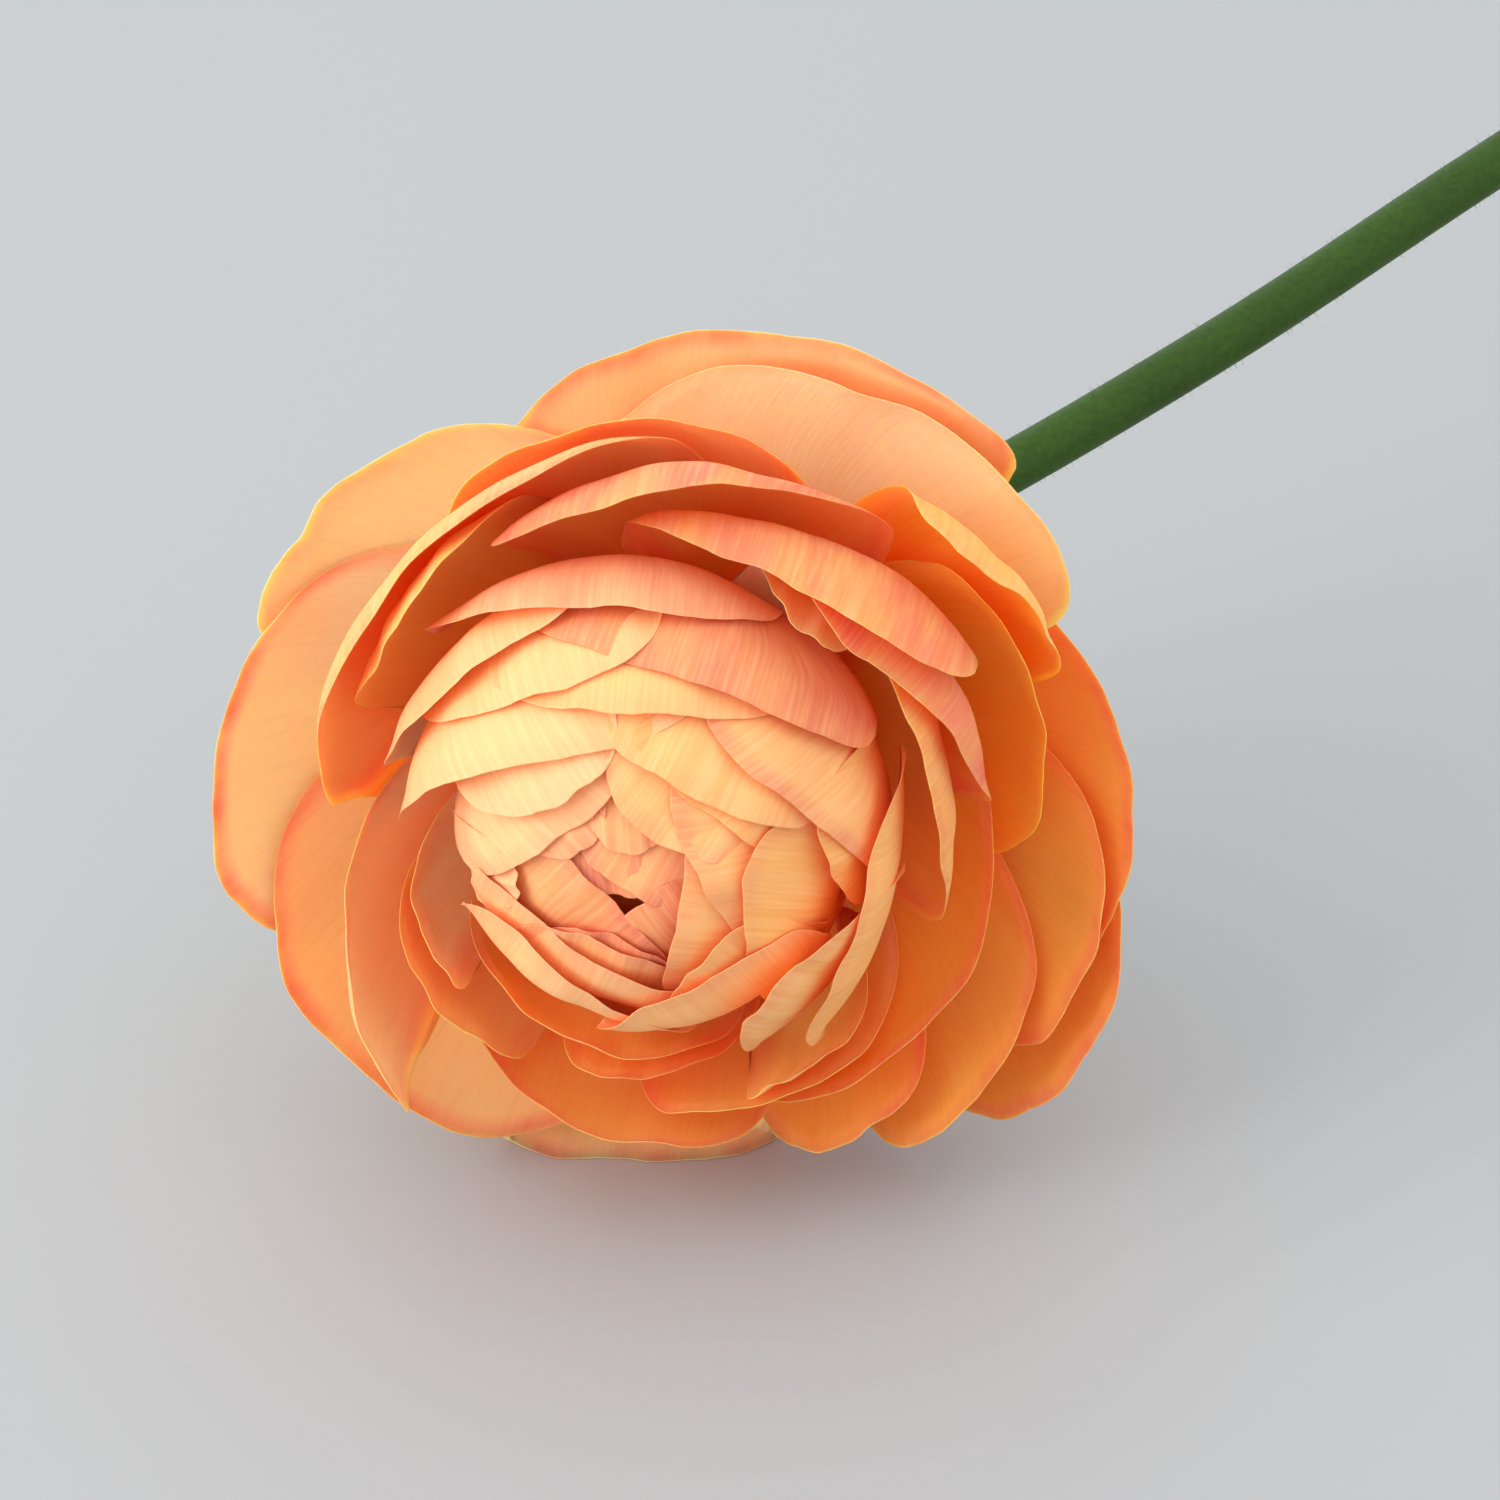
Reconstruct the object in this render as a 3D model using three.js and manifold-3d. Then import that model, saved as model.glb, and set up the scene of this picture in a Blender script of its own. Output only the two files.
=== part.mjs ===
// A cut ranunculus, lying on its side: a full double bloom on a slim, arched stem.
// Millimetres, +Z up. The bloom faces -Y and a little up; the stem leaves it to the back right.
// The origin is the flat spot where the lowest petal is pressed against the surface.
//
// Every petal lies on a shell round the heart of the bloom. Shells of different depth never
// meet, so the petals nest like the real ones: guard petals outside, cupped petals inside
// them, and a closed head of short petals in the middle.
import * as THREE from 'three';
import Module from 'manifold-3d';
import { mergeVertices } from 'three/addons/utils/BufferGeometryUtils.js';

// ---- driving dimensions -----------------------------------------------------------------
const HEART = new THREE.Vector3(0.5, -4.5, 32.1);          // centre of the bloom's shells
const AXIS = new THREE.Vector3(-0.093, -0.98, 0.178).normalize(); // the way the bloom faces
const BLADE = 0.6;                                        // thickness of petals and sepals
const GAP = 0.3;                                          // clearance between loose pieces

const CLAW_ANGLE = 165;      // polar angle at which the loose petals' claws meet the receptacle
const BOWL_ANGLE = 95;       // up to here a shell is a ball; behind it is drawn in to the root
const ROOT_DEPTH = 2.4;      // depth of a shell at its root: ROOT_DEPTH + ROOT_SLOPE * depth
const ROOT_SLOPE = 0.61;
const CLAW_WIDTH = 0.08;     // width of the claw, as a share of the blade's width
const CLAW_LENGTH = 0.75;    // share of the petal's length over which it widens
const CORNER_REACH = 32;     // a petal's rounded corners stay this many degrees short of its claw
const FLAT_BELOW = 1.2;      // an outer face that comes this low lies flat on the surface

const CORE_RADIUS = 12;      // solid heart of the closed head
const CORE_ANGLES = [0, 25, 50, 75, 100, 125, 142]; // polar angles of its rings
const CORE_SIDES = 16;
const NECK_RADIUS = 12.4;    // round seat of the head on the receptacle
const NECK_ANGLE = 150;      // polar angle at which the seat begins
const NECK_ANGLES = [NECK_ANGLE, 160, 170, 180];
const SUNK = 1.2;            // how deep the head's petals are rooted in the core
const SINK_LENGTH = 0.4;     // share of such a petal's length over which it dives to its root

// The receptacle is a cone inside the claws; its rings are placed by their distance from HEART.
const CONE_RINGS = [NECK_RADIUS + GAP, 15, 18, 21];
const CONE_EASE = 0.1;       // extra clearance for the flat facets of the claws
// Past the last claw it narrows to the stem, in rings of [distance past the claw, radius].
const NARROWING = [[1.2, 4.2], [3, 2.7]];
const STEM_START = 5;        // distance past the last claw at which the plain stem begins

const STEM_RADIUS = 2;
const STEM_SIDES = 12;
const STEM_STEPS = 30;
// The stem's middle line from the back of the receptacle to the cut end, from HEART in X and Y
// and above the surface in Z: it clears the petals, arches and comes down on its cut end.
const STEM_LINE = [
  [7, 34.5, 26.4], [15.5, 45.5, 26.6], [26.6, 54.1, 28], [45.7, 68.8, 32.5], [66.6, 86.4, 38],
  [87, 104, 42.2], [107, 121, 42.6], [126, 137, 37.2], [142, 150.6, 26.4], [153.5, 160.4, 12.6],
  [158.4, 164.6, 0.8],
];

// Petals. phi: where round the bloom the petal stands (0 right, 90 up, seen from the front).
// depth: radius of its shell; lean: how much deeper it lies at its anticlockwise side.
// rim: polar angle of its rim from the bloom's axis; half: half its width, in degrees.
// skew: how much further out the rim is at the anticlockwise side; drop: rounding of its ends.
const PETAL_COLUMNS = ['name', 'phi', 'depth', 'lean', 'rim', 'half', 'skew', 'drop'];
const GUARD_PETALS = [
  ['guard_petal_1', 146, 34.3, 0, 113, 25, -8, 28],
  ['guard_petal_2', 184, 33, 0, 101, 28, -8, 38],
  ['guard_petal_3', 227, 31.6, 0, 96, 33, -2, 40],
  ['guard_petal_4', 266, 34.4, 0, 104, 26, 2, 34],
  ['guard_petal_5', 77, 35.7, 0, 113, 33, 13, 22],
  ['guard_petal_6', 56, 33.8, 0, 108, 33, 10, 30],
  ['guard_petal_7', 357, 35.1, 0.2, 105, 26, 10, 34],
  ['guard_petal_8', 338, 33.4, 0, 98, 21, 6, 40],
  ['guard_petal_9', 326, 36.4, 0, 97, 21, 0, 38],
  ['guard_petal_10', 319, 31.5, 0, 94, 21, 10, 40],
  ['guard_petal_11', 300, 28.6, 0, 90, 16, 0, 40],
];
const CUP_PETALS = [
  ['cup_petal_1', 33, 29.6, -1.4, 93, 19, -9, 20],
  ['cup_petal_2', 10, 28.2, -1.1, 101, 27, -6, 26],
  ['cup_petal_3', 101, 26.7, 0, 104, 34, 2, 38],
  ['cup_petal_4', 138, 24, -1.2, 84, 48, -8, 30],
  ['cup_petal_5', 142, 22.2, -1.1, 82, 26, 0, 34],
  ['cup_petal_6', 86, 23.5, -2.3, 87, 36, -12, 22],
  ['cup_petal_7', 61, 22, -2.6, 76, 35, 7, 26],
  ['cup_petal_8', 29, 22.3, -1.7, 79, 31, -10, 26],
  ['cup_petal_9', 54, 18.4, 0, 82, 14, 4, 34],
  ['cup_petal_10', 6, 20.9, -1, 79, 33, -8, 28],
  ['cup_petal_11', 322, 25.4, 1.4, 93, 36, 16, 36],
  ['cup_petal_12', 206, 23.5, 3.6, 81, 26, -32, 20],
  ['cup_petal_13', 211, 18.7, 0.2, 88, 18, -20, 32],
  ['cup_petal_14', 226, 21, 0.8, 79, 22, -6, 38],
  ['cup_petal_15', 259, 24.2, 1.8, 80, 30, -8, 44],
  ['cup_petal_16', 295, 22.8, 0.4, 80, 28, 10, 44],
  ['cup_petal_17', 304, 21.5, 0, 78, 15, 18, 40],
  ['cup_petal_18', 273, 19.7, 0, 79, 22, 13, 44],
  ['cup_petal_19', 254, 17.8, 0.5, 71, 36, -6, 54],
];
const HEAD_PETALS = [
  ['head_1', 341, 19.3, 0, 56, 33, -8, 22],
  ['head_2', 102, 18.2, 1.5, 70, 44, 5, 36],
  ['head_3', 137, 17.9, 0.6, 69, 39, 5, 28],
  ['head_4', 324, 18.2, 0, 44, 26, 2, 42],
  ['head_5', 71, 16.9, -0.4, 54, 46, 0, 22],
  ['head_6', 124, 16.6, 0, 54, 37, 11, 38],
  ['head_7', 22, 16.7, -0.8, 47, 41, -23, 39],
  ['head_8', 90, 16.2, 0, 44, 40, 1, 24],
  ['head_9', 1, 16.5, 0, 53, 23, -11, 45],
  ['head_10', 136, 16.1, 1, 41, 47, 26, 18],
  ['head_11', 295, 15.9, 0, 37, 35, -10, 29],
  ['head_12', 337, 15.6, 0, 33, 31, -18, 37],
  ['head_13', 64, 15.5, -0.4, 29, 37, 2, 21],
  ['head_14', 308, 15.3, 0, 31, 26, -10, 37],
  ['head_15', 246, 15.2, 0.6, 40, 37, 12, 33],
  ['head_16', 32, 15.1, 0, 30, 34, -14, 12],
  ['head_17', 133, 15, 0, 28, 26, 6, 30],
];
const INNER_PETALS = [
  ['inner_1', 5, 14.8, 0, 19, 30, -12, 15],
  ['inner_2', 55, 14.6, 0, 14, 31, -3, 46],
  ['inner_3', 250, 14.4, 0.6, 31, 44, 8, 12],
  ['inner_4', 342, 14.3, 0, 15, 38, -6, 8],
  ['inner_5', 150, 13.9, 0, 22, 34, 12, 20],
  ['inner_6', 255, 13.8, 0, 25, 30, 4, 34],
  ['inner_7', 192, 13.6, 0, 36, 13, 0, 30],
  ['inner_8', 258, 13.5, 0, 22, 25, 4, 39],
  ['inner_9', 97, 13.4, 0, 7, 16, 3, 44],
  ['inner_10', 140, 13.4, 0, 15, 18, 0, 30],
  ['inner_11', 230, 13.2, 0, 10, 39, 6, 23],
  ['inner_12', 300, 13.1, 0, 9, 24, -4, 20],
  ['inner_13', 60, 13, 0, -5, 24, 0, 14],
  ['inner_14', 100, 12.8, 0, -7, 20, 0, 12],
];

const SEPAL_COUNT = 5;
const SEPAL_DEPTH = 38;
const SEPAL_RIM = 130;
const SEPAL_HALF = 17;
const SEPAL_DROP = 16;
const SEPAL_FIRST = 18;      // azimuth of the first sepal, midway between two claws

const RIM_ROUNDING = 2.5;    // exponent of the rim's superellipse
const LOOSE_GRID = { columns: 8, rows: [0, 0.18, 0.38, 0.6, 0.8, 0.93, 1] };
const NARROW_GRID = { columns: 6, rows: [0, 0.18, 0.38, 0.6, 0.8, 0.93, 1] };
const HEAD_GRID = { columns: 6, rows: [0, 0.35, 0.7, 1] };
const INNER_GRID = { columns: 4, rows: [0, 0.5, 1] };
const NARROW_HALF = 27;      // petals narrower than this take the narrow grid
const HEAD_LENGTH = 50;      // head petals reach this far back from their rim, in degrees
const INNER_LENGTH = 42;     // and the innermost this far
const NORMAL_STEP = 0.02;    // step in side and along over which a blade's slope is measured
const WELD = 1e-4;           // vertices this close are one

// ---- materials --------------------------------------------------------------------------
const petalSkin = (color) => new THREE.MeshStandardMaterial({ color, roughness: 0.55, metalness: 0 });
const GUARD_SKIN = petalSkin('#fbb377');
const CUP_SKIN = petalSkin('#f9a05a');
const HEAD_SKIN = petalSkin('#fbc98f');
const STEM_SKIN = petalSkin('#4b7a22');
const SEPAL_SKIN = petalSkin('#8aa04a');

// ---- the bloom's own axes ---------------------------------------------------------------
const UP = new THREE.Vector3(0, 0, 1);
const BLOOM_UP = UP.clone().addScaledVector(AXIS, -UP.dot(AXIS)).normalize();
const BLOOM_RIGHT = new THREE.Vector3().crossVectors(BLOOM_UP, AXIS).normalize();

const radians = THREE.MathUtils.degToRad;
const degrees = THREE.MathUtils.radToDeg;
const rootDepth = (depth) => ROOT_DEPTH + ROOT_SLOPE * depth;

// Distance from the heart to the shell of the given depth, at a polar angle in degrees.
function shellRadius(depth, polar) {
  const drawn = THREE.MathUtils.smoothstep(polar, BOWL_ANGLE, CLAW_ANGLE);
  return depth + (rootDepth(depth) - depth) * drawn;
}

// Point of a petal's outer face: side runs -1..1 across the petal, along 0..1 root to rim.
function petalPoint(petal, side, along) {
  const phi = radians(petal.phi);
  const out = BLOOM_RIGHT.clone().multiplyScalar(Math.cos(phi)).addScaledVector(BLOOM_UP, Math.sin(phi));
  const across = new THREE.Vector3().crossVectors(AXIS, out);
  const rounding = 1 - (1 - Math.abs(side) ** RIM_ROUNDING) ** (1 / RIM_ROUNDING);
  const rounded = petal.rim + petal.skew * side + petal.drop * rounding;
  const rim = Math.min(rounded, Math.max(petal.base - CORNER_REACH, petal.rim + Math.abs(petal.skew)));
  const polar = radians(petal.base + (rim - petal.base) * along);
  const spread = CLAW_WIDTH + (1 - CLAW_WIDTH) * THREE.MathUtils.smoothstep(along, 0, CLAW_LENGTH);
  const turn = radians(petal.half * spread * side);
  const way = AXIS.clone().multiplyScalar(Math.cos(turn) * Math.cos(polar));
  way.addScaledVector(out, Math.cos(turn) * Math.sin(polar)).addScaledVector(across, Math.sin(turn));
  const fromAxis = degrees(Math.acos(THREE.MathUtils.clamp(way.dot(AXIS), -1, 1)));
  const round = degrees(Math.atan2(way.dot(across), way.dot(out)));
  const depth = petal.depth + petal.lean * THREE.MathUtils.clamp(round / petal.half, -1, 1);
  const shell = shellRadius(depth, fromAxis);
  const dive = petal.rooted ? Math.max(0, 1 - along / SINK_LENGTH) ** 2 : 0;
  const radius = shell + (CORE_RADIUS - SUNK - shell) * dive;
  return way.multiplyScalar(radius).add(HEART);
}

// Outward unit normal of the petal's outer face, from two short steps along it.
function petalNormal(petal, side, along) {
  const s = THREE.MathUtils.clamp(side, -1 + NORMAL_STEP, 1 - NORMAL_STEP);
  const t = THREE.MathUtils.clamp(along, NORMAL_STEP, 1 - NORMAL_STEP);
  const acrossStep = petalPoint(petal, s + NORMAL_STEP, t).sub(petalPoint(petal, s - NORMAL_STEP, t));
  const alongStep = petalPoint(petal, s, t + NORMAL_STEP).sub(petalPoint(petal, s, t - NORMAL_STEP));
  const normal = acrossStep.cross(alongStep).normalize();
  const outward = petalPoint(petal, s, t).sub(HEART);
  return normal.dot(outward) < 0 ? normal.negate() : normal;
}

// A thin closed blade: a grid of outer points, the same grid one blade thickness further in,
// both split into triangles alike, and a strip round the edge.
function bladeGeometry(petal, grid) {
  const wide = grid.columns + 1;
  const high = grid.rows.length;
  const outer = [];
  const inner = [];
  for (const along of grid.rows) {
    for (let i = 0; i < wide; i += 1) {
      const side = Math.sin((Math.PI / 2) * ((2 * i) / grid.columns - 1));
      const point = petalPoint(petal, side, along);
      const within = point.clone().addScaledVector(petalNormal(petal, side, along), -BLADE);
      if (point.z < FLAT_BELOW) {
        within.z += -point.z;
        point.z = 0;
      }
      outer.push(point);
      inner.push(within);
    }
  }
  const positions = [...outer, ...inner].flatMap((v) => v.toArray());
  const index = [];
  const shift = wide * high;
  const quad = (a, b, c, d) => index.push(a, b, c, a, c, d);
  for (let j = 0; j < high - 1; j += 1) {
    for (let i = 0; i < wide - 1; i += 1) {
      const a = j * wide + i;
      quad(a, a + 1, a + wide + 1, a + wide);
      index.push(a + shift, a + wide + 1 + shift, a + 1 + shift);
      index.push(a + shift, a + wide + shift, a + wide + 1 + shift);
    }
  }
  for (let i = 0; i < wide - 1; i += 1) {
    const top = (high - 1) * wide + i;
    quad(i, i + shift, i + 1 + shift, i + 1);
    quad(top, top + 1, top + 1 + shift, top + shift);
  }
  for (let j = 0; j < high - 1; j += 1) {
    const left = j * wide;
    const right = left + wide - 1;
    quad(left, left + wide, left + wide + shift, left + shift);
    quad(right, right + shift, right + wide + shift, right + wide);
  }
  return facingOut(positions, index);
}

// Indexed geometry whose faces point out: all are flipped if the enclosed volume is negative.
function facingOut(positions, index) {
  let volume = 0;
  const corner = (k) => new THREE.Vector3().fromArray(positions, 3 * index[k]).sub(HEART);
  for (let k = 0; k < index.length; k += 3) {
    volume += corner(k).dot(corner(k + 1).cross(corner(k + 2)));
  }
  if (volume < 0) {
    for (let k = 0; k < index.length; k += 3) {
      [index[k + 1], index[k + 2]] = [index[k + 2], index[k + 1]];
    }
  }
  const geometry = new THREE.BufferGeometry();
  geometry.setAttribute('position', new THREE.Float32BufferAttribute(positions, 3));
  geometry.setIndex(index);
  geometry.computeVertexNormals();
  return geometry;
}

function petalFrom(row, extra) {
  const petal = Object.fromEntries(PETAL_COLUMNS.map((column, i) => [column, row[i]]));
  return { ...petal, ...extra };
}

// ---- solids for joining -----------------------------------------------------------------
const wasm = await Module();
wasm.setup();

function solidOf(geometry) {
  const bare = geometry.clone();
  bare.deleteAttribute('normal');
  bare.deleteAttribute('uv');
  const merged = mergeVertices(bare, WELD);
  return new wasm.Manifold(new wasm.Mesh({
    numProp: 3,
    vertProperties: new Float32Array(merged.attributes.position.array),
    triVerts: new Uint32Array(merged.index.array),
  }));
}

function geometryOf(solid) {
  const mesh = solid.getMesh();
  const geometry = new THREE.BufferGeometry();
  geometry.setAttribute('position', new THREE.Float32BufferAttribute(mesh.vertProperties, 3));
  geometry.setIndex([...mesh.triVerts]);
  geometry.computeVertexNormals();
  return geometry;
}

// The largest body of a joined solid: sealed hollows are filled and loose scraps dropped.
function largestBody(solid) {
  return solid.decompose().reduce((best, body) => (body.volume() > best.volume() ? body : best));
}

// A turned solid round the bloom's axis. The profile is [polar angle, distance from HEART].
function turnedAboutAxis(profile, sides) {
  const points = profile.map(([polar, far]) => new THREE.Vector2(
    Math.max(0, far * Math.sin(radians(polar))),
    far * Math.cos(radians(polar)),
  ));
  const lathe = new THREE.LatheGeometry(points, sides);
  lathe.applyQuaternion(new THREE.Quaternion().setFromUnitVectors(new THREE.Vector3(0, 1, 0), AXIS));
  lathe.translate(HEART.x, HEART.y, HEART.z);
  return lathe;
}

// ---- pieces -----------------------------------------------------------------------------
// Core of the closed head: a ball with a round neck that sits on the receptacle.
function headCore() {
  const ball = CORE_ANGLES.map((polar) => [polar, CORE_RADIUS]);
  const seat = NECK_ANGLES.map((polar) => [polar, NECK_RADIUS]);
  return turnedAboutAxis([...seat.reverse(), ...ball.reverse()], CORE_SIDES);
}

// The closed head: its petals are rooted in the core and fused with it.
function closedHead() {
  let head = solidOf(headCore());
  const rooted = (rows, length, grid) => rows.map((row) => {
    const petal = petalFrom(row, { rooted: true });
    petal.base = Math.min(petal.rim + length, NECK_ANGLE);
    return solidOf(bladeGeometry(petal, grid));
  });
  for (const petal of rooted(HEAD_PETALS, HEAD_LENGTH, HEAD_GRID)) {
    head = head.add(petal);
  }
  for (const petal of rooted(INNER_PETALS, INNER_LENGTH, INNER_GRID)) {
    head = head.add(petal);
  }
  return geometryOf(largestBody(head));
}

function loosePetal(row) {
  const petal = petalFrom(row, { base: CLAW_ANGLE, rooted: false });
  return bladeGeometry(petal, petal.half < NARROW_HALF ? NARROW_GRID : LOOSE_GRID);
}

function sepal(number) {
  const phi = SEPAL_FIRST + (360 / SEPAL_COUNT) * number;
  const row = ['sepal', phi, SEPAL_DEPTH, 0, SEPAL_RIM, SEPAL_HALF, 0, SEPAL_DROP];
  return bladeGeometry(petalFrom(row, { base: CLAW_ANGLE, rooted: false }), INNER_GRID);
}

// Receptacle and stem in one piece: rings of STEM_SIDES points along the bloom's axis, under
// the claws, and on along the stem's line to the flat cut end.
function stemGeometry() {
  const clawAngle = radians(180 - CLAW_ANGLE);
  const coneRadius = (far) => far * Math.tan(clawAngle) - GAP / Math.cos(clawAngle) - CONE_EASE;
  const lastClaw = rootDepth(SEPAL_DEPTH) + BLADE;
  const behind = (far) => HEART.clone().addScaledVector(AXIS, -far);
  const rings = [];
  for (const far of [...CONE_RINGS, lastClaw]) {
    rings.push({ at: behind(far), radius: coneRadius(far) });
  }
  for (const [past, radius] of NARROWING) {
    rings.push({ at: behind(lastClaw + past), radius });
  }
  const turns = [behind(lastClaw + STEM_START)];
  for (const [x, y, z] of STEM_LINE) {
    turns.push(new THREE.Vector3(HEART.x + x, HEART.y + y, z));
  }
  const line = new THREE.CatmullRomCurve3(turns, false, 'centripetal');
  for (let k = 0; k <= STEM_STEPS; k += 1) {
    rings.push({ at: line.getPointAt(k / STEM_STEPS), radius: STEM_RADIUS });
  }
  return ringTube(rings, STEM_SIDES);
}

// A closed tube through rings of given centre and radius, with level frames carried along.
function ringTube(rings, sides) {
  const positions = [];
  const index = [];
  let sideways = new THREE.Vector3(1, 0, 0);
  rings.forEach((ring, k) => {
    const before = rings[Math.max(0, k - 1)].at;
    const after = rings[Math.min(rings.length - 1, k + 1)].at;
    const ahead = after.clone().sub(before).normalize();
    sideways = sideways.clone().addScaledVector(ahead, -sideways.dot(ahead)).normalize();
    const other = new THREE.Vector3().crossVectors(ahead, sideways);
    for (let i = 0; i < sides; i += 1) {
      const turn = (2 * Math.PI * i) / sides;
      const point = ring.at.clone().addScaledVector(sideways, ring.radius * Math.cos(turn));
      point.addScaledVector(other, ring.radius * Math.sin(turn));
      point.z = Math.max(0, point.z);
      positions.push(...point.toArray());
    }
  });
  const last = (rings.length - 1) * sides;
  for (let k = 0; k < rings.length - 1; k += 1) {
    for (let i = 0; i < sides; i += 1) {
      const a = k * sides + i;
      const b = k * sides + ((i + 1) % sides);
      index.push(a, b, b + sides, a, b + sides, a + sides);
    }
  }
  for (let i = 1; i < sides - 1; i += 1) {
    index.push(0, i + 1, i, last, last + i, last + i + 1);
  }
  return facingOut(positions, index);
}

// ---- assembly ---------------------------------------------------------------------------
const flower = new THREE.Group();

function addPiece(name, geometry, material) {
  const mesh = new THREE.Mesh(geometry, material);
  mesh.name = name;
  flower.add(mesh);
}

addPiece('stem', stemGeometry(), STEM_SKIN);
addPiece('head', closedHead(), HEAD_SKIN);
for (const row of CUP_PETALS) {
  addPiece(row[0], loosePetal(row), CUP_SKIN);
}
for (const row of GUARD_PETALS) {
  addPiece(row[0], loosePetal(row), GUARD_SKIN);
}
for (let number = 0; number < SEPAL_COUNT; number += 1) {
  addPiece(`sepal_${number + 1}`, sepal(number), SEPAL_SKIN);
}

export default flower;
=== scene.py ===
"""A cut ranunculus lying on its side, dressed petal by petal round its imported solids.

Lengths in the tables are millimetres and angles are degrees; a mesh is turned to metres as it is
made. The bloom is seen along its own axis: an azimuth of 0 is its right and 90 its top. Polar
angles are counted from the axis, so a small one is near the middle of the bloom.
"""
import math
from collections import namedtuple

import bmesh
import bpy
import numpy as np
from bpy.props import FloatProperty, FloatVectorProperty, IntProperty, PointerProperty
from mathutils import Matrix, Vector


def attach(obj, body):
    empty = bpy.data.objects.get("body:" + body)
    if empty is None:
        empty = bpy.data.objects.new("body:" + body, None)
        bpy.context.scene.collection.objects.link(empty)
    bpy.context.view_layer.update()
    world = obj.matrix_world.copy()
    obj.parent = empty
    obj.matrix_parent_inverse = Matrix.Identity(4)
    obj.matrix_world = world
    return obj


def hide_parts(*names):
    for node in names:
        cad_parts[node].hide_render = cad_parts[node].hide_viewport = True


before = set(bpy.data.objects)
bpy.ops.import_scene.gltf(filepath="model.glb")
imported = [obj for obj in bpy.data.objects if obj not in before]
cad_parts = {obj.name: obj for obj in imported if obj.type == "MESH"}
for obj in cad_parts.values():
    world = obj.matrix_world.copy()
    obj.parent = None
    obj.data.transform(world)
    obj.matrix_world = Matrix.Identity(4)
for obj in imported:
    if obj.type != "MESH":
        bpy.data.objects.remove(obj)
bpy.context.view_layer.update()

bl_info = {
    "name": "Ranunculus Flower",
    "version": (1, 0, 0),
    "blender": (4, 5, 0),
    "location": "View3D > Sidebar > Flower",
    "description": "Builds a cut ranunculus bloom with its petals, sepals, stem and stage",
    "category": "Object",
}

MM = 0.001                   # a millimetre in metres

# ---- the bloom's shells: the same rule and sizes as the solids, but for rounder corners -----
HEART = np.array([0.5, -4.5, 32.1])        # centre of the bloom's shells
AXIS = np.array([-0.093, -0.98, 0.178])    # the way the bloom faces
AXIS /= np.linalg.norm(AXIS)
CLAW_ANGLE = 165             # polar angle at which the loose petals' claws meet the receptacle
BOWL_ANGLE = 95              # up to here a shell is a ball; behind it is drawn in to the root
ROOT_DEPTH = 2.4             # depth of a shell at its root: ROOT_DEPTH + ROOT_SLOPE * depth
ROOT_SLOPE = 0.61
CLAW_WIDTH = 0.08            # width of the claw, as a share of the blade's width
CLAW_LENGTH = 0.75           # share of the petal's length over which it widens
CORNER_REACH = 25            # a petal's rounded corners stay this many degrees short of its claw
CORNER_BLEND = 5.0           # and ease into that limit over this many
RIM_ROUNDING = 2.5           # exponent of the free edge's curve; a larger one is squarer
FLAT_BELOW = 1.2             # an outer face this low is pressed flat on the surface
PRESSED_TO = 0.06            # and lies this far above it

# phi: azimuth of the petal's middle. depth: radius of its shell. lean: how much farther out one
# side of it lies than the middle. rim: polar angle of the free edge's middle. half: half of the
# petal's width, in degrees. skew: how far the free edge falls back towards one side, and rises
# towards the other. drop: how far its two corners fall back.
# curl: how far the free edge rolls in, where its neighbour leaves room. blush: pink over the
# whole blade. edge: pink along its free edge. gold: yellow rather than orange, and painted shade
# too: the right-hand guard and cup petals get almost none, so their deeper orange is partly
# painted shade.
Petal = namedtuple("Petal", "name phi depth lean rim half skew drop curl blush edge gold")

GUARD_PETALS = [
    Petal("guard_petal_1", 146, 34.3, 0, 113, 25, -8, 28, 0.5, 0.05, 0.5, 0.95),
    Petal("guard_petal_2", 184, 33, 0, 101, 28, -8, 38, 0.4, 0.1, 1, 0.95),
    Petal("guard_petal_3", 227, 31.6, 0, 96, 33, -2, 40, 0.4, 0.1, 1, 0.6),
    Petal("guard_petal_4", 266, 34.4, 0, 104, 26, 2, 34, 0.2, 0.5, 1, 0.6),
    Petal("guard_petal_5", 77, 35.7, 0, 113, 33, 13, 22, 0.3, 0.1, 0.9, 0.7),
    Petal("guard_petal_6", 56, 33.8, 0, 108, 33, 10, 30, 0.4, 0.05, 0.5, 0.95),
    Petal("guard_petal_7", 357, 35.1, 0.2, 105, 26, 10, 34, 0.4, 0.6, 1, 0.1),
    Petal("guard_petal_8", 338, 33.4, 0, 98, 21, 6, 40, 0.3, 0.4, 0.8, 0.1),
    Petal("guard_petal_9", 326, 36.4, 0, 97, 21, 0, 38, 0.4, 0.5, 1, 0.1),
    Petal("guard_petal_10", 319, 31.5, 0, 94, 21, 10, 40, 0.3, 0.4, 0.8, 0.1),
    Petal("guard_petal_11", 300, 28.6, 0, 90, 16, 0, 40, 0.3, 0.5, 0.9, 0.1),
]
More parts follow.
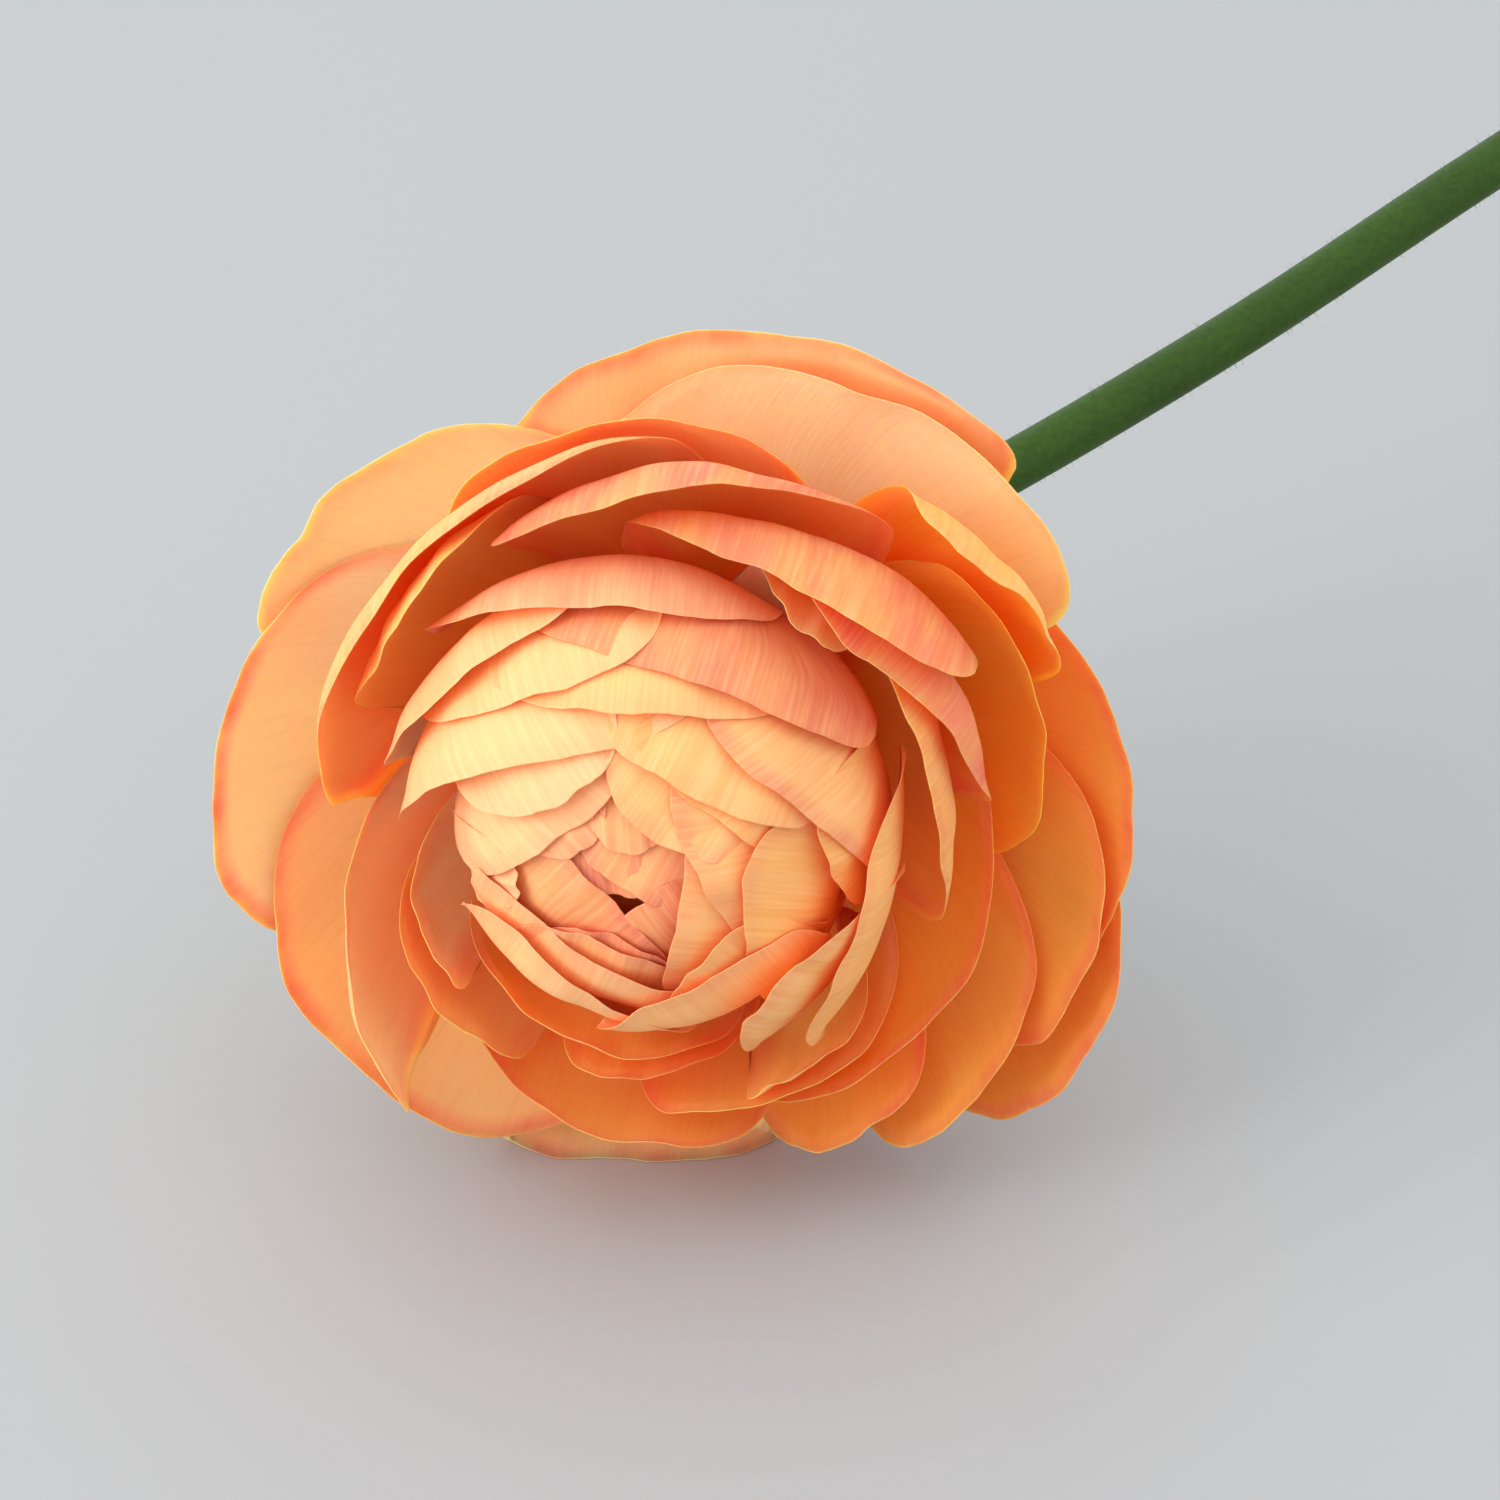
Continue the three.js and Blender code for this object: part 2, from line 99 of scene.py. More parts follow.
CUP_PETALS = [
    Petal("cup_petal_1", 33, 29.6, -1.4, 93, 19, -9, 20, 0.5, 0.2, 0.5, 0.0),
    Petal("cup_petal_2", 10, 28.2, -1.1, 101, 27, -6, 26, 0.4, 0.2, 0.3, 0.0),
    Petal("cup_petal_3", 101, 26.7, 0, 104, 34, 2, 38, 0.4, 0.5, 0.7, 0.3),
    Petal("cup_petal_4", 138, 24, -1.2, 84, 48, -8, 30, 0.4, 0.4, 0.8, 0.25),
    Petal("cup_petal_5", 142, 22.2, -1.1, 82, 26, 0, 34, 0.4, 0.1, 0.4, 0.15),
    Petal("cup_petal_6", 86, 23.5, -2.3, 87, 36, -12, 22, 0.2, 1.0, 1, 0.15),
    Petal("cup_petal_7", 61, 22, -2.6, 76, 35, 7, 26, 0.3, 0.85, 1, 0.1),
    Petal("cup_petal_8", 29, 22.3, -1.7, 79, 31, -10, 26, 0.9, 1.0, 1, 0.15),
    Petal("cup_petal_9", 54, 18.4, 0, 82, 14, 4, 34, 0.3, 0, 0.1, 0.9),
    Petal("cup_petal_10", 6, 20.9, -1, 79, 33, -8, 28, 0.4, 0.4, 0.8, 0.15),
    Petal("cup_petal_11", 322, 25.4, 1.4, 93, 36, 16, 36, 0.5, 0.5, 1, 0.05),
    Petal("cup_petal_12", 206, 23.5, 3.6, 81, 26, -28, 26, 0.2, 0.2, 0.7, 0.6),
    Petal("cup_petal_13", 211, 18.7, 0.2, 88, 18, -20, 32, 0.3, 0.1, 0.6, 0.6),
    Petal("cup_petal_14", 226, 21, 0.8, 79, 22, -6, 38, 0.5, 0.15, 0.5, 0.3),
    Petal("cup_petal_15", 259, 24.2, 1.8, 80, 30, -8, 44, 0.5, 0.35, 0.9, 0.15),
    Petal("cup_petal_16", 295, 22.8, 0.4, 80, 28, 10, 44, 0.4, 0.3, 0.8, 0.15),
    Petal("cup_petal_17", 304, 21.5, 0, 78, 15, 18, 40, 0.4, 0.3, 0.7, 0.15),
    Petal("cup_petal_18", 273, 19.7, 0, 79, 22, 13, 44, 0.4, 0.35, 0.8, 0.15),
    Petal("cup_petal_19", 254, 17.8, 0.5, 71, 36, -6, 54, 0.5, 0.3, 0.8, 0.15),
]
HEAD_PETALS = [
    Petal("head_1", 341, 18.8, -0.9, 56, 33, 4, 32, 0.3, 0.15, 0.4, 0.35),
    Petal("head_2", 102, 18.2, 1.5, 70, 44, 5, 36, 0.4, 0.55, 0.6, 0.9),
    Petal("head_3", 137, 17.9, 0.6, 69, 39, 5, 28, 0.4, 0, 0.15, 0.85),
    Petal("head_4", 324, 18.2, 0, 44, 26, 2, 42, 0.2, 0.15, 0.5, 0.4),
    Petal("head_5", 71, 16.9, -0.4, 54, 46, 0, 22, 0.3, 0.85, 1, 0.35),
    Petal("head_6", 124, 16.6, 0, 54, 37, 11, 38, 0.3, 0, 0.15, 0.8),
    Petal("head_7", 22, 16.7, -0.8, 47, 41, -23, 39, 0.2, 0.2, 0.8, 0.5),
    Petal("head_8", 90, 16.2, 0, 44, 40, 1, 24, 0.2, 0, 0.3, 0.6),
    Petal("head_9", 1, 16.5, 0, 53, 23, -11, 45, 0.2, 0.15, 0.4, 0.2),
    Petal("head_10", 136, 16.1, 1, 41, 47, 26, 18, 0.2, 0, 0.2, 0.85),
    Petal("head_11", 295, 15.9, 0, 37, 35, -10, 29, 0.2, 0.05, 0.4, 0.6),
    Petal("head_12", 337, 15.6, 0, 33, 31, -18, 37, 0.2, 0.15, 0.5, 0.25),
    Petal("head_13", 64, 15.5, -0.4, 29, 37, 2, 21, 0.2, 0.1, 0.4, 0.5),
    Petal("head_14", 308, 15.3, 0, 31, 26, -10, 37, 0.2, 0.1, 0.4, 0.5),
    Petal("head_15", 246, 15.2, 0.6, 40, 37, 12, 33, 0.2, 0, 0.3, 0.8),
    Petal("head_16", 32, 15.1, 0, 30, 34, -14, 12, 0.2, 0.15, 0.4, 0.3),
    Petal("head_17", 133, 15, 0, 28, 26, 6, 30, 0.2, 0, 0.2, 1),
    Petal("inner_1", 5, 14.8, 0, 19, 30, -12, 15, 0.2, 0.2, 0.6, 0.5),
    Petal("inner_2", 55, 14.6, 0, 14, 31, -3, 46, 0.2, 0.2, 0.5, 0.5),
    Petal("inner_3", 250, 14.4, 0.6, 31, 44, 8, 12, 0.2, 0.1, 0.5, 0.8),
    Petal("inner_4", 342, 14.3, 0, 15, 38, -6, 8, 0.2, 0.2, 0.6, 0.5),
    Petal("inner_5", 150, 13.9, 0, 22, 34, 12, 20, 0.2, 0.1, 0.5, 0.9),
    Petal("inner_6", 255, 13.8, 0, 25, 30, 4, 34, 0.2, 0.35, 0.8, 0.6),
    Petal("inner_7", 192, 13.6, 0, 36, 13, 0, 30, 0.1, 0.1, 0.3, 1),
    Petal("inner_8", 258, 13.5, 0, 22, 25, 4, 39, 0.2, 0.65, 1, 0.3),
    Petal("inner_9", 97, 13.4, 0, 7, 16, 3, 44, 0.2, 0.4, 0.7, 0.6),
    Petal("inner_10", 140, 13.4, 0, 15, 18, 0, 30, 0.2, 0.5, 0.8, 0.7),
    Petal("inner_11", 230, 13.2, 0, 10, 39, 6, 23, 0.2, 0.7, 1, 0.3),
    Petal("inner_12", 300, 13.1, 0, 9, 24, -4, 20, 0.2, 0.8, 1, 0.4),
    Petal("inner_13", 60, 13, 0, -5, 24, 0, 14, 0.1, 0.6, 0.9, 0.5),
    Petal("inner_14", 100, 12.8, 0, -7, 20, 0, 12, 0.1, 0.9, 1, 0.4),
]
HEAD_LENGTH = 62             # head petals reach this far back from their rim, in degrees
HEAD_BACK = 150              # but no farther back than this polar angle
HEAD_THIN = 0.6              # thickness of a head petal, as a share of a loose one's
SHINGLE = 0.09               # it sinks this much for each millimetre behind its rim
HEAD_CORE = 10.6             # radius of the round core that the head's petals close over
CORE_SEGMENTS, CORE_BANDS = 48, 24
BLOOM_BACK = 23              # the last petals' roots lie this far behind the heart

SEPAL_COUNT = 5
SEPAL_FIRST = 18             # azimuth of the first sepal, midway between two claws
SEPAL_GRID = (20, 16)        # steps across and along
SEPAL = Petal("sepal", 0, 38, 0, 130, 17, 0, 16, 0.3, 0, 0, 0)

# ---- waves and rolled edges of the petals ----------------------------------------------------
# A wave is given by how many times it goes up and down across a petal.
RIM_WAVES = (1.3, 2.6, 4.3)
RIPPLE_HALF, RIPPLE_EASE, RIPPLE_POWER = 28, 8, 0.4    # narrow petals' rims wander more
CORNER_CALM = 0.6            # the wander dies down by this share towards the corners
NICK_WAVES = (9.0, 14.0)
NICK_DEG = 0.1
FLUTTER_WAVES, FLUTTER_MM = (1.7, 3.1), 0.16           # in and out, towards the free edge
QUIVER_WAVES, QUIVER_MM = (6.0,), 0.05
FLUTTER_FROM = 0.45          # share of the petal's length at which the flutter sets in
CURL_WAVES, CURL_CHANGE = (1.1, 2.3), 0.25             # the roll is tighter here and there
SWELL_FROM, SWELL_FULL = 0.1, 0.7                      # shares of the petal's length
EDGE_BLEND = 2.5             # the distances to the rim and to the sides merge over this
EDGE_THINNING = 2.2          # a blade thins to its edge over this
SIDE_GATHER = 0.6            # how closely the mesh's columns stand near the sides
RIM_GATHER = 1.5             # and its rows near the free edge
NOISE_SPREAD = 50            # petals' vein patterns start this far apart or less

# How far a free edge may roll in, down to the next petal inside.
LOOK_BEHIND = 4              # it is looked for this many degrees behind the rim
LEAST_DEPTH = 12.0           # and taken to lie this deep where there is none
DEEPER_BY = 0.3              # a petal counts when it lies this much deeper
NEARLY_AT = 3                # and reaches to within this many degrees of the place
ROLL_CLEAR = 0.75            # room left free between the rolled edge and it
ROOM_REACH = 4               # the least room holds over so many columns each side

# One slow field for the whole bloom, so that neighbouring shells swell together: the heading,
# rate and phase of each of its waves.
SWELL_WAYS = [
    (np.array([0.9, 0.3, 0.4]), 5.1, 0.4), (np.array([-0.5, 0.2, 0.9]), 6.7, 1.9),
    (np.array([0.3, -0.6, 0.8]), 8.9, 3.3), (np.array([0.7, 0.5, -0.6]), 11.8, 5.0),
]

# The random draws of each kind of petal start from the seed times one of these.
LOOSE_DRAWS, HEAD_DRAWS, SEPAL_DRAWS = 1000, 2000, 3000

# ---- stem ------------------------------------------------------------------------------------
NECK_RADIUS = 12.4           # round seat of the head on the receptacle
GAP = 0.3                    # clearance between loose pieces
BLADE = 0.6                  # thickness of the solids' petals
CONE_RINGS = (NECK_RADIUS + GAP, 15, 18, 21)           # the receptacle, so far behind the heart
CONE_EASE = 0.1              # extra clearance under the claws
STEM_RADIUS = 2
NARROWING = ((1.2, 2.2), (3, 0.7), (5, 0))             # past the last claw, thicker by
STEM_LINE = [                # x and y from the heart, z above the surface
    [7, 34.5, 26.4], [15.5, 45.5, 26.6], [26.6, 54.1, 28], [45.7, 68.8, 32.5], [66.6, 86.4, 38],
    [87, 104, 42.2], [107, 121, 42.6], [126, 137, 37.2], [142, 150.6, 26.4], [153.5, 160.4, 12.6],
    [158.4, 164.6, 1],
]
STEM_SIDES, STEM_SMOOTHNESS = 32, 6
HAIR_SEED = 5
HAIR_LENGTH, HAIR_THICKNESS = 0.6, 0.02
HAIRS_PER_MM2 = 0.9
HAIR_TILT = 0.5              # hairs lean up to this far, in radians
HAIR_TURN = 3.1              # and are turned up to this far
HAIR_SHORTEST, HAIR_LONGEST = 0.5, 1.1                 # as shares of the usual length

# ---- patterns in the petals and the stem -----------------------------------------------------
VEINS_PER_MM = 3.3           # fine veins, 0.3 mm apart
VEIN_RUNS_PER_MM = 0.13      # each fades into the next after about 8 mm
PATCHES_PER_MM = (0.26, 0.11)                          # patches of pink, about 4 mm by 9 mm
PINK_BAND_INSIDE, PINK_BAND_OUTSIDE = 3.2, 3.0         # width of the pink along a free edge
MOTTLES_PER_MM = 0.06        # broad mottles of green tissue, about 17 mm across
PALE_FROM, PALE_FULL = -2, 1 # the receptacle turns pale between these, round BLOOM_BACK

# ---- stage -----------------------------------------------------------------------------------
VIEW_TARGET = np.array([7.3, 4.8, 30.6])
SENSOR_WIDTH = 36
CLIP_END = 20                # metres
WINDOW_AT = np.array([-700, -330, 380])                # low, at the left and a little in front
WINDOW_WIDTH = 700
FLOOR_REACH = 3.0            # metres each way
BOUNCES, DIFFUSE_BOUNCES = 24, 20                      # light reaches deep between the petals

# ---- bloom axes ------------------------------------------------------------------------------
BLOOM_UP = np.array([0.0, 0.0, 1.0]) - AXIS[2] * AXIS
BLOOM_UP /= np.linalg.norm(BLOOM_UP)
BLOOM_RIGHT = np.cross(BLOOM_UP, AXIS)
BLOOM_RIGHT /= np.linalg.norm(BLOOM_RIGHT)


# ---- properties ------------------------------------------------------------------------------
def linear(hex_colour):
    """An sRGB hex colour as linear RGBA."""
    values = [int(hex_colour[i:i + 2], 16) / 255 for i in (1, 3, 5)]
    rgb = [v / 12.92 if v <= 0.04045 else ((v + 0.055) / 1.055) ** 2.4 for v in values]
    return (*rgb, 1.0)


def colour_property(name, description, hex_colour):
    """A colour that a user may change, with its default given as sRGB hex."""
    return FloatVectorProperty(
        name=name, description=description, subtype="COLOR", size=4, min=0, max=1,
        default=linear(hex_colour),
    )


def length_property(name, description, mm):
    """A length that a user may change, with its default given in millimetres."""
    return FloatProperty(
        name=name, description=description, subtype="DISTANCE", min=0, precision=5,
        default=mm * MM,
    )


def count_property(name, description, count):
    """A number of mesh steps that a user may change."""
    return IntProperty(name=name, description=description, min=2, default=count)


class FlowerSizes(bpy.types.PropertyGroup):
    """Sizes of the petals and hairs, and how finely they are meshed"""

    blade: length_property("Blade", "Thickness of a loose petal", 0.34)
    edge: length_property("Edge", "Thickness of a petal at its free edge", 0.06)
    curl_band: length_property("Curl band", "Width of a petal's rolled edge", 5.5)
    swell: length_property("Swell", "Slow swell of all shells together", 0.45)
    ripple: FloatProperty(
        name="Ripple", description="Wander of a petal's rim, seen from the bloom's heart",
        subtype="ANGLE", min=0, default=math.radians(0.7),
    )
    loose_columns: count_property("Columns", "Steps across a loose petal", 56)
    loose_rows: count_property("Rows", "Steps along a loose petal", 44)
    head_columns: count_property("Head columns", "Steps across a head petal", 40)
    head_rows: count_property("Head rows", "Steps along a head petal", 26)
    hair: length_property("Hair", "Length of the stem's hairs", HAIR_LENGTH)
    hair_density: FloatProperty(
        name="Hairs", description="Hairs on each square millimetre of the stem", min=0,
        default=HAIRS_PER_MM2,
    )
    seed: IntProperty(name="Seed", description="Seed of the petals' waves", default=11)


class FlowerColours(bpy.types.PropertyGroup):
    """Colours of the flower, its floor and its light"""

    inside: colour_property("Inside", "Inner face of an orange petal", "#FFAC34")
    inside_gold: colour_property("Inside, golden", "Inner face of a yellow petal", "#FFE8B4")
    outside: colour_property("Outside", "Outer face of an orange petal", "#FFBA5A")
    outside_gold: colour_property("Outside, golden", "Outer face of a yellow petal", "#FFBE86")
    pink: colour_property("Pink", "Flush of the petals' free edges", "#E6745C")
    # the claw colour is partly the roots' own orange and partly painted shade deep in the bloom
    claw: colour_property("Claw", "Deep orange at the petals' roots", "#FF9A2A")
    vein: colour_property("Vein", "Pale streaks along a petal", "#FFE0AE")
    core: colour_property("Core", "Shaded core of the head", "#E0641C")
    stem: colour_property("Stem", "Skin of the stem", "#2E4C06")
    receptacle: colour_property("Receptacle", "Between the petals' roots", "#D8A848")
    sepal: colour_property("Sepal", "Sepals", "#8A9A48")
    floor: colour_property("Floor", "Plain pale floor", "#ABADAD")
    window: colour_property("Window", "Light from the window", "#FFFDF8")
    room: colour_property("Room", "Light from the rest of the room", "#F4F6FA")


class StageSettings(bpy.types.PropertyGroup):
    """Camera and light"""

    lens: FloatProperty(
        name="Lens", description="Focal length of the camera", unit="CAMERA", min=1,
        default=144.1,
    )
    elevation: FloatProperty(
        name="Elevation", description="Angle of the view above the surface", subtype="ANGLE",
        default=math.radians(32),
    )
    distance: length_property("Distance", "From the camera to the bloom", 420)
    window_power: FloatProperty(
        name="Window power", description="Power of the window light", unit="POWER", min=0,
        default=5.0,
    )
    room_strength: FloatProperty(
        name="Room strength", description="Strength of the room's own light", min=0,
        default=1.34,
    )


# ---- shells ----------------------------------------------------------------------------------
def smoothstep(x, low, high):
    x = np.clip((x - low) / (high - low), 0, 1)
    return x * x * (3 - 2 * x)


def soft_min(a, b, width):
    """The smaller of two values, with the corner between them rounded over a width."""
    mix = np.clip(0.5 + 0.5 * (b - a) / width, 0, 1)
    return b + (a - b) * mix - width * mix * (1 - mix)


def shell_radius(depth, polar):
    """Radius of a shell: a ball, drawn in to its root behind the bowl."""
    root = ROOT_DEPTH + ROOT_SLOPE * depth
    return depth + (root - depth) * smoothstep(polar, BOWL_ANGLE, CLAW_ANGLE)


def petal_axes(petal):
    """Unit vectors from the heart towards the petal's azimuth, and across the petal."""
    phi = math.radians(petal.phi)
    out = math.cos(phi) * BLOOM_RIGHT + math.sin(phi) * BLOOM_UP
    return out, np.cross(AXIS, out)


def rim_angle(petal, base, side):
    """Polar angle of the free edge across the petal: skewed, rounded, capped at its corners."""
    rounding = 1 - (1 - np.abs(side) ** RIM_ROUNDING) ** (1 / RIM_ROUNDING)
    rounded = petal.rim + petal.skew * side + petal.drop * rounding
    cap = max(base - CORNER_REACH, petal.rim + abs(petal.skew))
    return soft_min(rounded, cap, CORNER_BLEND)


def depth_towards(petal, round_deg):
    """Depth of a petal's shell so many degrees round from the petal's middle."""
    return petal.depth + petal.lean * np.clip(round_deg / petal.half, -1, 1)


def least_nearby(values, reach):
    """The least of the values within so many places on either side."""
    padded = np.pad(values, reach, mode="edge")
    return np.min([padded[k:k + values.size] for k in range(2 * reach + 1)], axis=0)


def room_inside(petal, base, side, others):
    """Free depth inside a petal's rim, down to the next petal that reaches as far forward."""
    out, across = petal_axes(petal)
    polar = np.radians(rim_angle(petal, base, side) + LOOK_BEHIND)
    turn = np.radians(petal.half * side)
    way = np.outer(np.cos(turn) * np.cos(polar), AXIS)
    way = way + np.outer(np.cos(turn) * np.sin(polar), out)
    way += np.outer(np.sin(turn), across)
    own = depth_towards(petal, np.degrees(np.arctan2(way @ across, way @ out)))
    nearest = np.full(side.shape, LEAST_DEPTH)
    for other in others:
        other_out, other_across = petal_axes(other)
        turn_there = np.degrees(np.arcsin(np.clip(way @ other_across, -1, 1))) / other.half
        polar_there = np.degrees(np.arctan2(way @ other_out, way @ AXIS))
        round_there = np.degrees(np.arctan2(way @ other_across, way @ other_out))
        depth = depth_towards(other, round_there)
        rim_there = rim_angle(other, base, np.clip(turn_there, -1, 1))
        covers = (np.abs(turn_there) < 1) & (depth < own - DEEPER_BY)
        covers &= polar_there > rim_there - NEARLY_AT
        nearest = np.where(covers, np.maximum(nearest, depth), nearest)
    return least_nearby(np.maximum(own - nearest - ROLL_CLEAR, 0), ROOM_REACH)


def swell(way):
    """The slow field's value, from -1 to 1, in a direction from the heart."""
    total = np.zeros(way.shape[:-1])
    for heading, rate, phase in SWELL_WAYS:
        along_heading = way @ (heading / np.linalg.norm(heading))
        total += np.sin(rate * along_heading + phase) / len(SWELL_WAYS)
    return total


def wave(draw, side, rates):
    """A sum of sines across a petal, with seeded phases, about 1 high."""
    total = np.zeros_like(side)
    for rate in rates:
        phase = draw.uniform(0, 2 * math.pi)
        total += math.sqrt(1 / len(rates)) * np.sin(math.pi * rate * side + phase)
    return total


def petal_surface(petal, base, grid, sizes, draw, others, rooted):
    """Outer face of a petal on a grid of side and along: points, and distance to the edge."""
    side, along = grid
    line = side[0]
    out, across = petal_axes(petal)
    narrowness = (RIPPLE_HALF / (petal.half + RIPPLE_EASE)) ** RIPPLE_POWER
    ripple = math.degrees(sizes.ripple) * narrowness
    wander = ripple * wave(draw, line, RIM_WAVES) * (1 - CORNER_CALM * np.abs(line))
    nicks = NICK_DEG * wave(draw, line, NICK_WAVES)
    edge = rim_angle(petal, base, line) + wander + nicks
    flutter = wave(draw, line, FLUTTER_WAVES) * FLUTTER_MM
    flutter = flutter + wave(draw, line, QUIVER_WAVES) * QUIVER_MM
    curl = petal.curl * (1 + CURL_CHANGE * wave(draw, line, CURL_WAVES)) * (1 - line ** 4)
    if others:
        curl = np.minimum(np.maximum(curl, 0), room_inside(petal, base, line, others))
    polar = np.radians(base + (edge - base) * along)
    spread = CLAW_WIDTH + (1 - CLAW_WIDTH) * smoothstep(along, 0, CLAW_LENGTH)
    turn = np.radians(petal.half * spread * side)
    way = (np.cos(turn) * np.cos(polar))[..., None] * AXIS
    way = way + (np.cos(turn) * np.sin(polar))[..., None] * out + np.sin(turn)[..., None] * across
    from_axis = np.degrees(np.arccos(np.clip(way @ AXIS, -1, 1)))
    depth = depth_towards(petal, np.degrees(np.arctan2(way @ across, way @ out)))
    radius = shell_radius(depth, from_axis)
    behind_rim = (1 - along) * np.radians(base - edge) * radius
    from_side = (1 - np.abs(side)) * np.radians(petal.half) * spread * radius
    to_edge = np.maximum(soft_min(behind_rim, from_side, EDGE_BLEND), 0)
    radius = radius - curl * np.clip(1 - behind_rim / (sizes.curl_band / MM), 0, 1) ** 2
    radius = radius + flutter * smoothstep(along, FLUTTER_FROM, 1)
    radius = radius + sizes.swell / MM * swell(way) * smoothstep(along, SWELL_FROM, SWELL_FULL)
    if rooted:
        radius = radius - SHINGLE * behind_rim
    return HEART + way * radius[..., None], to_edge


def press_flat(points):
    """Flattens what the bloom lies on: an outer face near the surface rests just above it."""
    points[..., 2] = np.where(points[..., 2] < FLAT_BELOW, PRESSED_TO, points[..., 2])
    return points


def outward_normals(surface):
    normal = np.cross(np.gradient(surface, axis=1), np.gradient(surface, axis=0))
    normal /= np.maximum(np.linalg.norm(normal, axis=-1, keepdims=True), 1e-9)
    outward = np.sum(normal * (surface - HEART), axis=-1, keepdims=True)
    return normal * np.where(outward < 0, -1, 1)


def blade_faces(surface):
    """Quads of a blade's outer face, its inner face and the strip round its rim."""
    rows, columns = surface.shape[:2]
    index = np.arange(rows * columns).reshape(rows, columns)
    corners = [index[:-1, :-1], index[:-1, 1:], index[1:, 1:], index[1:, :-1]]
    outer = np.stack(corners, -1).reshape(-1, 4)
    inner = outer[:, ::-1] + index.size
    loop = np.concatenate([index[0, :-1], index[:-1, -1], index[-1, :0:-1], index[:0:-1, 0]])
    after = np.roll(loop, -1)
    strip = np.stack([loop, loop + index.size, after + index.size, after], -1)
    faces = np.concatenate([outer, inner, strip])
    corner = surface[0, columns // 2]
    along = surface[1, columns // 2] - corner
    facing = np.cross(surface[0, columns // 2 + 1] - corner, along)
    return faces[:, ::-1] if np.dot(facing, corner - HEART) < 0 else faces


def blade_mesh(petal, base, steps, sizes, draw, others=(), rooted=False, thin=1.0):
    """Vertices, faces, UV and values of one petal: two faces a blade apart, thin at the rim."""
    columns, rows = steps
    x = np.linspace(-1, 1, columns + 1)
    line = np.sin(x * math.pi / 2) * SIDE_GATHER + x * (1 - SIDE_GATHER)
    side, along = np.meshgrid(line, 1 - (1 - np.linspace(0, 1, rows + 1)) ** RIM_GATHER)
    surface, to_edge = petal_surface(petal, base, (side, along), sizes, draw, others, rooted)
    if not rooted:
        surface = press_flat(surface)
    blade, edge = sizes.blade / MM, sizes.edge / MM
    thick = edge + (blade - edge) * smoothstep(to_edge, 0, EDGE_THINNING)
    inside = surface - outward_normals(surface) * (thick * thin)[..., None]
    span = math.radians(petal.half) * petal.depth
    length = math.radians(base - petal.rim) * petal.depth
    uv = np.stack([side * span * MM, along * length * MM], -1).reshape(-1, 2)
    both = 2 * side.size
    values = {
        "edge_mm": np.tile(to_edge.reshape(-1), 2),
        "outer": np.repeat([1.0, 0.0], side.size),
        "along": np.tile(along.reshape(-1), 2),
        "blush": np.full(both, petal.blush),
        "edge_pink": np.full(both, petal.edge),
        "gold": np.full(both, petal.gold),
        "draw": np.full(both, draw.uniform(0, NOISE_SPREAD)),
    }
    points = np.concatenate([surface.reshape(-1, 3), inside.reshape(-1, 3)])
    return points, blade_faces(surface), np.tile(uv, (2, 1)), values


def joined(parts):
    """Several blades as one set of vertices, faces, UV and values."""
    shift = 0
    faces = []
    for points, part_faces, _, _ in parts:
        faces.append(part_faces + shift)
        shift += len(points)
    values = {key: np.concatenate([part[3][key] for part in parts]) for key in parts[0][3]}
    points = np.concatenate([part[0] for part in parts])
    return points, np.concatenate(faces), np.concatenate([part[2] for part in parts]), values


def new_object(name, mesh, material):
    mesh.materials.append(material)
    piece = bpy.data.objects.new(name, mesh)
    bpy.context.scene.collection.objects.link(piece)
    return piece


def piece_from(name, part, material):
    """A Blender object from vertices in millimetres, quad faces, UV and point values."""
    points, faces, uv, values = part
    mesh = bpy.data.meshes.new(name)
    mesh.from_pydata((points * MM).tolist(), [], faces.tolist())
    mesh.polygons.foreach_set("use_smooth", np.ones(len(mesh.polygons), bool))
    layer = mesh.uv_layers.new(name="petal")
    corners = np.zeros(len(mesh.loops), np.int32)
    mesh.loops.foreach_get("vertex_index", corners)
    layer.data.foreach_set("uv", uv[corners].astype(np.float32).reshape(-1))
    for key, numbers in values.items():
        attribute = mesh.attributes.new(key, "FLOAT", "POINT")
        attribute.data.foreach_set("value", numbers.astype(np.float32))
    mesh.validate()
    mesh.update()
    return new_object(name, mesh, material)


# ---- nodes -----------------------------------------------------------------------------------
# Sockets of a Mix node that mixes colours.
MIX, TONE_A, TONE_B, TONE = 0, 6, 7, 2


def add(tree, kind, inputs=None, **settings):
    """Adds a node, sets its properties, and links or sets its inputs by name or number."""
    node = tree.nodes.new(kind)
    for key, value in settings.items():
        setattr(node, key, value)
    for key, value in (inputs or {}).items():
        socket = node.inputs[key]
        if isinstance(value, bpy.types.NodeSocket):
            tree.links.new(value, socket)
        else:
            socket.default_value = value
    return node


def empty_material(name):
    material = bpy.data.materials.new(name)
    material.use_nodes = True
    material.node_tree.nodes.clear()
    return material


